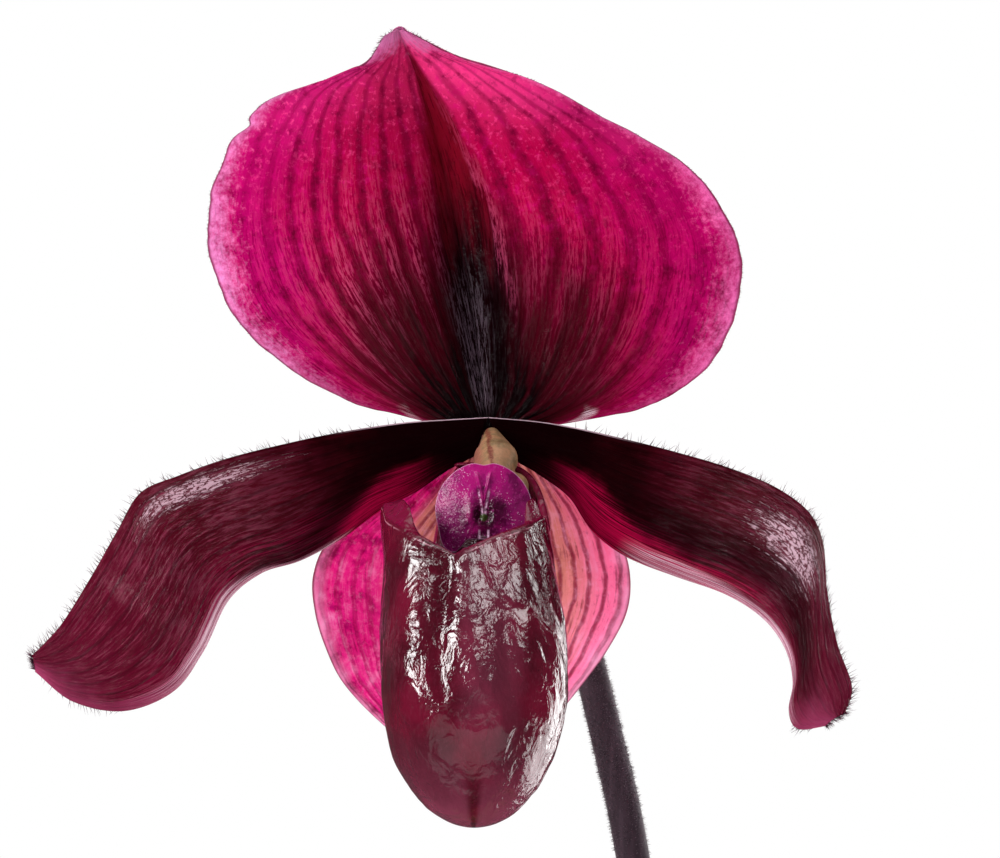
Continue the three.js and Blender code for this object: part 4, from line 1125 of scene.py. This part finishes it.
def makeMiddle():
    bm = wrapped(shieldPoint, 90, 240)
    entered("staminode", bm, shieldPaint(), "shield", "staminode")

    bm = bmesh.new()
    for start, end, thin, wide in column["body"]:
        start, end = Vector(start), Vector(end)
        turned = (end - start).to_track_quat("Z", "Y").to_matrix().to_4x4()
        bmesh.ops.create_cone(bm, segments=40, radius1=thin, radius2=wide, depth=(end - start).length + 0.3,
                              cap_ends=True, matrix=Matrix.Translation((start + end) / 2) @ turned)
    for place, size in column["anthers"]:
        shaped = Matrix.Translation(place) @ Matrix.Diagonal((0.9, 1.2, 1, 1))
        bmesh.ops.create_uvsphere(bm, u_segments=24, v_segments=16, radius=size, matrix=shaped)
    shaped = Matrix.Translation(column["stigma"]) @ Matrix.Rotation(math.radians(-25), 4, "X")
    shaped = shaped @ Matrix.Diagonal((1, 1.1, 0.5, 1))
    bmesh.ops.create_uvsphere(bm, u_segments=24, v_segments=16, radius=2.2, matrix=shaped)
    bmesh.ops.create_cone(bm, segments=24, radius1=1.4, radius2=1.8, depth=5, cap_ends=True,
                          matrix=Matrix.Translation((0, -7.2, -8.4)))
    bmesh.ops.transform(bm, matrix=Matrix.Scale(mm, 4) @ Matrix.Translation(hub), verts=bm.verts)
    piece = entered("column", bm, columnPaint(), "column", "column")
    weld = piece.modifiers.new("Remesh", "REMESH")
    weld.mode = "VOXEL"
    weld.voxel_size = column["voxel"] * mm
    weld.use_smooth_shade = True
    soft = piece.modifiers.new("Smooth", "SMOOTH")
    soft.iterations = 5
    print("staminode and column made")


makeMiddle()

# Stem, bract and ovary

stem = {
    "route": [
        (0, -8, 74.5),
        (0.4, -7.4, 120),
        (0.8, -6, 175),
        (-2.2, -4, 230),
        (-9.2, -2, 274),
        (-12.4, -1.2, 289),
        (-15.6, -0.8, 302),
    ],
    "radius": (2.45, 2.05),
    "ovaryEnd": 3.4,
    "ovaryNeck": 1.9,
    "ribs": 6,
    "ribDepth": 0.28,
    "clear": 0.35,
    "steps": 150,
    "ovarySteps": 80,
    "bractThick": 0.6,
    "hairs": 8000,
    "ovaryHairs": 1500,
    "hairLength": 0.5,
    "dark": colour("261a22"),
    "brown": colour("34262f"),
    "fuzz": colour("4a3842"),
    "hair": (colour("3a2c36"), colour("76646e")),
    "ovarySkin": (colour("341820"), colour("5c3a3c")),
    "ovaryHair": (colour("4a3038"), colour("8a7078")),
    "bractGreen": colour("6f7a3c"),
    "bractPurple": colour("5a2a3a"),
}


def ovaryRoute():
    # the four points of a curve that leaves the stem straight on and bends into the bloom
    top, below = Vector(stem["route"][-1]), Vector(stem["route"][-2])
    rising = (top - below).normalized()
    start = top + rising * stem["clear"]
    end = hub + Vector((0, 3.05 + stem["clear"], -1))
    knee = end + Vector((1.2, 13, -0.5))
    return start, start + rising * 14, knee, end


def ovaryAt(t):
    a, b, c, d = ovaryRoute()
    return a * (1 - t) ** 3 + b * 3 * t * (1 - t) ** 2 + c * 3 * t * t * (1 - t) + d * t ** 3


def tubePoint(frames, radiusAt):
    steps = len(frames) - 1

    def pointAt(u, turn):
        place, across, up, _ = frames[round(u * steps)]
        radius = radiusAt(u, turn)
        return place + across * radius * math.cos(turn) + up * radius * math.sin(turn)
    return pointAt


def stemPaint(name, dark, brown):
    paint = Paint(name)
    streak = paint.lumps(paint.stretched(paint.place, (1, 1, 0.06)), 900, 3, 0.6)
    speck = paint.lumps(paint.place, 2200, 3, 0.7)
    tone = paint.tint(paint.step(streak, 0.35, 0.7), dark, brown)
    tone = paint.tint(paint.step(speck, 0.5, 0.75) * 0.35, tone, stem["fuzz"])
    normal = paint.relief(speck * 0.5 + streak * 0.5, 0.1 * mm)
    sheen = {"Sheen_Weight": 0.15, "Sheen_Roughness": 0.4}
    return paint.done(paint.skin(tone, 0.75, normal, Specular_IOR_Level=0.15, **sheen))


def makeStem(draw):
    steps = stem["steps"]
    frames = routeFrames(stem["route"], steps)
    low, high = stem["radius"]
    bm = wrapped(tubePoint(frames, lambda u, turn: mixed(low, high, u)), steps, 32)
    entered("scape", bm, stemPaint("stem skin", stem["dark"], stem["brown"]), "stem", "scape")
    roots = []
    for _ in range(stem["hairs"]):
        k = int(mixed(0.12, 1, draw.random() ** 0.8) * steps)
        place, across, up, along = frames[k]
        turn = draw.uniform(0, 2 * math.pi)
        out = across * math.cos(turn) + up * math.sin(turn)
        root = place + along * draw.uniform(-0.8, 0.8) + out * (mixed(low, high, k / steps) - 0.05)
        lean = out + along * draw.uniform(-0.3, 0.5) + across * draw.uniform(-0.3, 0.3)
        roots.append((root, lean.normalized(), stem["hairLength"] * draw.uniform(0.5, 1.2)))
    hairCoat("scapeHairs", roots, hairThick, hairPaint("stem hairs", *stem["hair"]), "stem", 31)


def ribbed(u, turn):
    swell = mixed(stem["ovaryNeck"], stem["ovaryEnd"], smooth(0.05, 1, u))
    return swell + stem["ribDepth"] * math.cos(stem["ribs"] * turn) * smooth(0.1, 0.4, u)


def makeOvary(draw):
    steps = stem["ovarySteps"]
    frames = routeFrames([ovaryAt(i / 24) for i in range(25)], steps)
    bm = wrapped(tubePoint(frames, ribbed), steps, 60)
    entered("ovary", bm, stemPaint("ovary skin", *stem["ovarySkin"]), "ovary", "ovary")
    roots = []
    for _ in range(stem["ovaryHairs"]):
        k = draw.randrange(steps)
        place, across, up, along = frames[k]
        turn = draw.uniform(0, 2 * math.pi)
        out = across * math.cos(turn) + up * math.sin(turn)
        root = place + out * (ribbed(k / steps, turn) - 0.05)
        roots.append((root, (out + along * 0.3).normalized(), stem["hairLength"] * draw.uniform(0.5, 1.2)))
    hairCoat("ovaryHairs", roots, hairThick, hairPaint("ovary hairs", *stem["ovaryHair"]), "ovary", 32)


def bractPoint(u, v):
    # wrapped round the ovary's lower half, and standing away from it towards its tip
    t = u * 0.5
    place = ovaryAt(t)
    tangent = (ovaryAt(t + 0.01) - ovaryAt(t - 0.01)).normalized()
    across = (Vector((1, 0, 0)) - tangent * tangent.x).normalized()
    behind = -across.cross(tangent)
    hug = stem["ovaryNeck"] + stem["clear"] + 0.75 + 2.2 * smooth(0.35, 1, u) + 0.3 * u
    wrap = math.radians(150) * (1 - u) ** 0.45 * (2 * v - 1) + 0.12 * (2 * v - 1)
    return place + behind * hug * math.cos(wrap) + across * hug * math.sin(wrap)


def bractPaint():
    paint = Paint("bract")
    u, v, _ = paint.parts(paint.uv)
    streak = paint.lumps(paint.stretched(paint.uv, (4, 60, 1)), 1.0, 3)
    wave = abs(paint.maths("FRACT", v * 11) - 0.5)
    vein = paint.step(wave, 0.05, 0.25, 1.0, 0.0)
    tone = paint.tint(paint.step(streak + u * 0.2, 0.4, 0.75), stem["bractGreen"], stem["bractPurple"])
    tone = paint.tint(vein * 0.4, tone, stem["bractPurple"])
    normal = paint.relief(streak * 0.5 - vein * 0.5, 0.15 * mm)
    return paint.done(paint.skin(tone, 0.5, normal))


def makeBract():
    piece = entered("bract", bladeSheet(bractPoint, 40, 40), bractPaint(), "bract", "bract")
    thicken(piece, stem["bractThick"])


stemDraw = random.Random(5)
makeStem(stemDraw)
makeOvary(stemDraw)
makeBract()
print("stem, ovary and bract made")

# Leaves

mixTop = 83  # how high the bark stands in the pot
leafShape = {
    "root": 9,
    "footThick": 0.65,
    "bladeThick": 1.3,
    "edgeThick": 0.5,
    "clear": 0.35,
    "rows": 48,
    "columns": 20,
    "dark": colour("23401b"),
    "mid": colour("3f6a2c"),
    "light": colour("93a878"),
    "purple": colour("54263a"),
}
fans = [
    {
        "name": "leaf",
        "at": (0, -8),
        "heading": -16,
        "core": 3.3,
        "leaves": [
            {"length": 118, "half": 16.5, "tip": -42, "sheath": 12, "drift": -20},
            {"length": 134, "half": 18.5, "tip": -36, "sheath": 16, "drift": 18},
            {"length": 150, "half": 20.5, "tip": -30, "sheath": 21, "drift": 17},
            {"length": 156, "half": 21, "tip": -24, "sheath": 24.5, "drift": -15},
            {"length": 138, "half": 19.5, "tip": -8, "sheath": 31, "drift": -5},
            {"length": 108, "half": 14.5, "tip": 20, "sheath": 49, "drift": 8},
        ],
    },
    {
        "name": "young_leaf",
        "at": (13, 25),
        "heading": -30,
        "core": 1.3,
        "leaves": [
            {"length": 58, "half": 9.5, "tip": 12, "sheath": 10, "drift": 26},
            {"length": 74, "half": 11.5, "tip": 18, "sheath": 14, "drift": -24},
            {"length": 80, "half": 12, "tip": 30, "sheath": 17, "drift": 18},
            {"length": 58, "half": 7.5, "tip": 50, "sheath": 32, "drift": -10},
        ],
    },
]


def leafSpine(leaf, foot, heading):
    pieces = 40
    stride = leaf["length"] / pieces
    points = [foot]
    for k in range(pieces):
        gone = (k + 0.5) * stride
        arch = (gone - leaf["sheath"] * 0.8) / (leaf["length"] - leaf["sheath"])
        rise = math.radians(mixed(89, leaf["tip"], min(max(arch, 0), 1) ** 0.75))
        bearing = heading + math.radians(leaf["drift"]) * smooth(0.1, 1, gone / leaf["length"])
        level = math.cos(rise)
        step = Vector((level * math.cos(bearing), level * math.sin(bearing), math.sin(rise)))
        points.append(points[-1] + step * stride)
    return points


def leafPoint(leaf, spine, heading, foldRadius, footHalf):
    sideways = Vector((-math.sin(heading), math.cos(heading), 0))
    foldEnd = leaf["sheath"] / leaf["length"]
    columns = list(zip(*spine))

    def spineAt(u):
        return Vector([valueAlong(c, u) for c in columns])

    def halfAt(u):
        blade = leaf["half"] * math.sin(math.pi * u ** 0.8) ** 0.5 if 0 < u < 1 else 0.0
        opened = mixed(footHalf, max(blade, footHalf * (1 - u)), smooth(0.5 * foldEnd, 0.5, u))
        return max(opened * math.sqrt(min(max((1 - u) / 0.13, 0), 1)), 0.8)

    cache = {}

    def frameAt(u):
        if u not in cache:
            tangent = (spineAt(min(u + 0.004, 1)) - spineAt(max(u - 0.004, 0))).normalized()
            across = (sideways - tangent * sideways.dot(tangent)).normalized()
            cache[u] = (spineAt(u), across, tangent.cross(across), halfAt(u))
        return cache[u]

    def pointAt(u, v):
        place, across, inward, half = frameAt(round(u, 6))
        opened = smooth(0.7 * foldEnd, foldEnd + 0.22, u)
        turn = math.radians(mixed(90, 17, opened))
        bend = mixed(foldRadius, 4.5, opened)
        droop = math.radians(24) * opened
        side = -1 if v < 0.5 else 1
        share = abs(2 * v - 1)
        out, lift = 0.0, 0.0
        for k in range(12):
            gone = (k + 0.5) / 12 * share
            lean = turn * min(gone * half / (bend * turn), 1) - droop * gone * gone
            out += math.cos(lean) * share * half / 12
            lift += math.sin(lean) * share * half / 12
        point = place + across * side * out + inward * lift
        wave = opened * smooth(0.55, 1, share) * 0.7 * rough(point, 16, 2, foldRadius)
        return point + inward * wave
    return pointAt


def leafPaint(name, fresh):
    paint = Paint(name)
    u, v, _ = paint.parts(paint.uv)
    side = abs(v * 2 - 1)
    flat = paint.spot(u * 26, v * 9)
    warp = paint.lumps(paint.stretched(paint.uv, (14, 5, 1)), 1.0, 3)
    cells = paint.cells(flat, 1.6, "F1", "Color", 0.9)
    cell, _, _ = paint.parts(cells)
    edge = paint.cells(flat, 1.6, "DISTANCE_TO_EDGE", "Distance", 0.9)
    lines = abs(paint.maths("FRACT", v * 16) - 0.5)
    net = paint.maths("MAXIMUM", paint.step(edge, 0.14, 0.02), paint.step(lines, 0.06, 0.2, 0.8, 0.0))
    patch = paint.step(cell + (warp - 0.5) * 0.8, 0.38, 0.72) * (1 - net * 0.8)
    tone = paint.tint(patch * (0.6 if fresh else 0.85), leafShape["dark"], leafShape["light"])
    tone = paint.tint(0.35 if fresh else 0.2, tone, leafShape["mid"])
    midrib = paint.step(side, 0.0, 0.05, 1.0, 0.0)
    tone = paint.tint(midrib * 0.5, tone, leafShape["dark"])
    foot = paint.step(u + (warp - 0.5) * 0.1, 0.06, 0.2, 1.0, 0.0)
    dots = paint.step(paint.lumps(paint.place, 1300, 2), 0.56, 0.66)
    tone = paint.tint(foot * (0.35 + dots * 0.5), tone, leafShape["purple"])
    height = warp * 0.3 - paint.step(lines, 0.02, 0.3, 1.0, 0.0) * 0.4
    height += paint.lumps(paint.place, 700, 3) * 0.3
    normal = paint.relief(height, 0.25 * mm)
    skin = paint.skin(tone, 0.38 + (warp - 0.5) * 0.15, normal, Specular_IOR_Level=0.5)
    return paint.done(paint.glow(skin, leafShape["mid"], 0.12, normal))


def makeLeaves():
    paints = {"leaf": leafPaint("leaf", False), "young_leaf": leafPaint("young leaf", True)}
    for fan in fans:
        count = len(fan["leaves"])
        for k, leaf in enumerate(fan["leaves"]):
            inside = count - 1 - k
            foldRadius = fan["core"] + inside * (leafShape["footThick"] + leafShape["clear"] + 0.1)
            heading = math.radians(fan["heading"]) + (k % 2) * math.pi
            back = foldRadius + 0.25 * inside
            foot = Vector((fan["at"][0], fan["at"][1], mixTop - leafShape["root"]))
            foot += Vector((math.cos(heading), math.sin(heading), 0)) * back
            footHalf = foldRadius * math.pi / 2 + 1.2
            spine = leafSpine(leaf, foot, heading)
            pointAt = leafPoint(leaf, spine, heading, foldRadius, footHalf)
            foldEnd = leaf["sheath"] / leaf["length"]

            def thickAt(u, v):
                opened = smooth(0.7 * foldEnd, foldEnd + 0.2, u)
                middle = mixed(leafShape["footThick"], leafShape["bladeThick"], opened) * (1 - 0.35 * u)
                return mixed(middle, leafShape["edgeThick"], abs(2 * v - 1)) / leafShape["bladeThick"]
            bm = bladeSheet(pointAt, leafShape["rows"], leafShape["columns"], thickAt)
            node = f"{fan['name']}_{k + 1}"
            piece = entered(node.replace("_", "-"), bm, paints[fan["name"]], "leaf", node)
            thicken(piece, leafShape["bladeThick"], 1, 0.0)
    print("leaves made")


makeLeaves()

# Pot

pot = {
    "height": 95,
    "foot": 36,
    "shoulder": 47.5,
    "rim": 54,
    "rimHeight": 23,
    "wall": 5,
    "floor": 6,
    "edge": 1.5,
    "drains": 3,
    "drainRadius": 6.5,
    "drainRing": 18,
    "sides": 128,
    "clay": colour("b5623f"),
    "fired": colour("cc7a50"),
    "damp": colour("84422c"),
    "lime": colour("d9c3b0"),
}


def cutAway(body, tool):
    holders = []
    for name, bm in (("body", body), ("tool", tool)):
        mesh = bpy.data.meshes.new(name)
        bm.to_mesh(mesh)
        bm.free()
        holders.append(bpy.data.objects.new(name, mesh))
        bpy.context.scene.collection.objects.link(holders[-1])
    cut = holders[0].modifiers.new("Cut", "BOOLEAN")
    cut.operation = "DIFFERENCE"
    cut.solver = "EXACT"
    cut.object = holders[1]
    whole = holders[0].evaluated_get(bpy.context.evaluated_depsgraph_get())
    bm = bmesh.new()
    bm.from_mesh(bpy.data.meshes.new_from_object(whole))
    for holder in holders:
        bpy.data.objects.remove(holder)
    return bm


def innerRadius(z):
    taper = (pot["shoulder"] - pot["foot"]) / (pot["height"] - pot["rimHeight"])
    return pot["foot"] + z * taper - pot["wall"]


def potPaint():
    paint = Paint("clay")
    _, _, z = paint.parts(paint.place)
    cloud = paint.lumps(paint.place, 28, 5, 0.6)
    grit = paint.lumps(paint.place, 900, 3, 0.7)
    salt = paint.lumps(paint.stretched(paint.place, (1, 1, 0.5)), 60, 6, 0.65)
    ring = paint.lumps(paint.stretched(paint.place, (0.02, 0.02, 1)), 420, 3, 0.5)
    high = z / (pot["height"] * mm)
    tone = paint.tint(paint.step(cloud, 0.35, 0.7), pot["clay"], pot["fired"])
    tone = paint.tint(paint.step(high + (cloud - 0.5) * 0.3, 0.5, 0.12) * 0.55, tone, pot["damp"])
    band = paint.step(abs(high - 0.66 + (salt - 0.5) * 0.12), 0.12, 0.02)
    tone = paint.tint(paint.step(salt, 0.48, 0.72) * (0.25 + band * 0.5), tone, pot["lime"])
    tone = paint.tint(paint.step(grit, 0.6, 0.72) * 0.35, tone, pot["damp"])
    normal = paint.relief(ring * 0.5 + grit * 0.5 + cloud * 0.3, 0.35 * mm)
    return paint.done(paint.skin(tone, 0.8 + (grit - 0.5) * 0.2, normal, Specular_IOR_Level=0.25))


def makePot():
    band = pot["height"] - pot["rimHeight"]
    e = pot["edge"]
    profile = [
        (0, 0), (pot["foot"] - e, 0), (pot["foot"], e), (pot["shoulder"], band), (pot["rim"] - e, band),
        (pot["rim"], band + e), (pot["rim"], pot["height"] - e), (pot["rim"] - e, pot["height"]),
        (innerRadius(pot["height"]) + e, pot["height"]), (innerRadius(pot["height"]), pot["height"] - e),
        (innerRadius(pot["floor"]), pot["floor"]), (0, pot["floor"]),
    ]
    bm = bmesh.new()
    verts = [bm.verts.new((r * mm, 0, z * mm)) for r, z in profile]
    for pair in zip(verts, verts[1:]):
        bm.edges.new(pair)
    corners = [v for v in verts[1:-1] if v.co.z > 0.0001]
    bmesh.ops.bevel(bm, geom=corners, offset=0.5 * mm, affect="VERTICES", segments=3, profile=0.5,
                    material=-1)
    bmesh.ops.spin(bm, geom=list(bm.verts) + list(bm.edges), axis=(0, 0, 1), cent=(0, 0, 0),
                   angle=2 * math.pi, steps=pot["sides"], use_merge=True)
    bmesh.ops.remove_doubles(bm, verts=bm.verts, dist=1e-6)
    bmesh.ops.recalc_face_normals(bm, faces=bm.faces)

    drills = bmesh.new()
    ring, radius = pot["drainRing"], pot["drainRadius"] * mm
    for k in range(pot["drains"]):
        turn = 2 * math.pi * (k + 0.5) / pot["drains"]
        at = Vector((ring * math.cos(turn), ring * math.sin(turn), pot["floor"] / 2)) * mm
        bmesh.ops.create_cone(drills, segments=48, radius1=radius, radius2=radius, cap_ends=True,
                              depth=pot["floor"] * 2 * mm, matrix=Matrix.Translation(at))
    bm = cutAway(bm, drills)
    for edge in bm.edges:
        edge.smooth = edge.calc_face_angle(0) < math.radians(35)
    entered("pot", bm, potPaint(), "clay", "pot")
    print("pot made")


makePot()

# Bark

bark = {
    "chips": 420,
    "kinds": 9,  # how many shapes of chip
    "gap": 0.6,  # between the mix and the pot's wall
    "seed": 7,
    "brown": colour("5f3d27"),
    "dark": colour("2f1d13"),
    "red": colour("7d4b2e"),
    "grey": colour("8b7765"),
    "holes": [((0, -8), 13.5, 12.5, -16), ((13, 25), 7.5, 6.8, -30)],  # centre, half sizes and turn
}


def barkPaint():
    paint = Paint("bark")
    fibre = paint.lumps(paint.stretched(paint.place, (0.5, 1, 1.6)), 700, 5, 0.65, 0.4)
    patch = paint.lumps(paint.place, 110, 3)
    cork = paint.cells(paint.place, 420, "DISTANCE_TO_EDGE")
    tone = paint.tint(paint.step(patch, 0.35, 0.65), bark["brown"], bark["red"])
    tone = paint.tint(paint.step(fibre, 0.42, 0.7), bark["dark"], tone)
    tone = paint.tint(paint.step(fibre, 0.62, 0.82) * 0.4, tone, bark["grey"])
    tone = paint.tint(paint.step(cork, 0.06, 0.0) * 0.6, tone, bark["dark"])
    normal = paint.relief(fibre + paint.step(cork, 0.0, 0.2) * 0.4, 0.6 * mm)
    return paint.done(paint.skin(tone, 0.88, normal, Specular_IOR_Level=0.25))


def overHole(x, y, spare):
    for (hx, hy), a, b, heading in bark["holes"]:
        turn = math.radians(-heading)
        dx, dy = x - hx, y - hy
        px, py = dx * math.cos(turn) - dy * math.sin(turn), dx * math.sin(turn) + dy * math.cos(turn)
        if (px / (a + spare)) ** 2 + (py / (b + spare)) ** 2 < 1:
            return True
    return False


def makeMix(paint):
    bm = bmesh.new()
    bmesh.ops.create_grid(bm, x_segments=70, y_segments=90, size=0.5)
    for vert in bm.verts:
        radius, turn = vert.co.x + 0.5, (vert.co.y + 0.5) % 1.0 * 2 * math.pi
        reach = (innerRadius(mixTop) - bark["gap"]) * radius
        x, y = reach * math.cos(turn), reach * math.sin(turn)
        z = mixTop - 0.4 + 1.2 * rough((x, y, 0), 7, 3, 2.0) * (1 - radius ** 6)
        if overHole(x, y, -1.5):
            z = mixTop - 4
        vert.co = Vector((x, y, z)) * mm
    bmesh.ops.remove_doubles(bm, verts=bm.verts, dist=1e-6)
    bmesh.ops.recalc_face_normals(bm, faces=bm.faces)
    rimEdges = [e for e in bm.edges if e.is_boundary]
    skirt = bmesh.ops.extrude_edge_only(bm, edges=rimEdges)["geom"]
    for vert in [part for part in skirt if isinstance(part, bmesh.types.BMVert)]:
        flat = Vector((vert.co.x, vert.co.y, 0)).normalized() * (innerRadius(pot["floor"]) - bark["gap"]) * mm
        vert.co = Vector((flat.x, flat.y, (pot["floor"] + 0.35) * mm))
    bmesh.ops.holes_fill(bm, edges=[e for e in bm.edges if e.is_boundary], sides=0)
    bmesh.ops.recalc_face_normals(bm, faces=bm.faces)
    entered("pottingMix", bm, paint, "bark", "potting_mix")


def chipShapes():
    shapes = []
    for k in range(bark["kinds"]):
        chip = bmesh.new()
        bmesh.ops.create_cube(chip, size=1.0)
        bmesh.ops.bevel(chip, geom=list(chip.edges), offset=0.13, segments=1, profile=0.5, affect="EDGES",
                        material=-1)
        for vert in chip.verts:
            shift = [rough(vert.co, size, 2, k + seed) for size, seed in ((0.5, 0), (0.5, 20), (0.4, 40))]
            vert.co += Vector(shift) * 0.14
        mesh = bpy.data.meshes.new("chip")
        chip.to_mesh(mesh)
        chip.free()
        shapes.append(mesh)
    return shapes


def makeChips(paint):
    draw = random.Random(bark["seed"])
    shapes = chipShapes()
    bm = bmesh.new()
    placed = 0
    while placed < bark["chips"]:
        radius = (innerRadius(mixTop) - 5.5) * math.sqrt(draw.random())
        turn = draw.uniform(0, 2 * math.pi)
        x, y = radius * math.cos(turn), radius * math.sin(turn)
        long = draw.uniform(4, 11)
        if overHole(x, y, long * 0.3 - 2.5):
            continue
        size = Matrix.Diagonal((long, long * draw.uniform(0.45, 0.8), long * draw.uniform(0.22, 0.42), 1))
        tip = Matrix.Rotation(draw.uniform(-0.5, 0.5), 4, "X")
        tip = tip @ Matrix.Rotation(draw.uniform(-0.45, 0.45), 4, "Y")
        spin = Matrix.Rotation(draw.uniform(0, 6.28), 4, "Z")
        chip = draw.choice(shapes).copy()
        lift = mixTop + draw.uniform(-1.2, 1.4)
        chip.transform(Matrix.Scale(mm, 4) @ Matrix.Translation((x, y, lift)) @ spin @ tip @ size)
        bm.from_mesh(chip)
        bpy.data.meshes.remove(chip)
        placed += 1
    entered("barkChips", bm, paint, "bark")
    for shape in shapes:
        bpy.data.meshes.remove(shape)


barkSkin = barkPaint()
makeMix(barkSkin)
makeChips(barkSkin)
print("bark made")
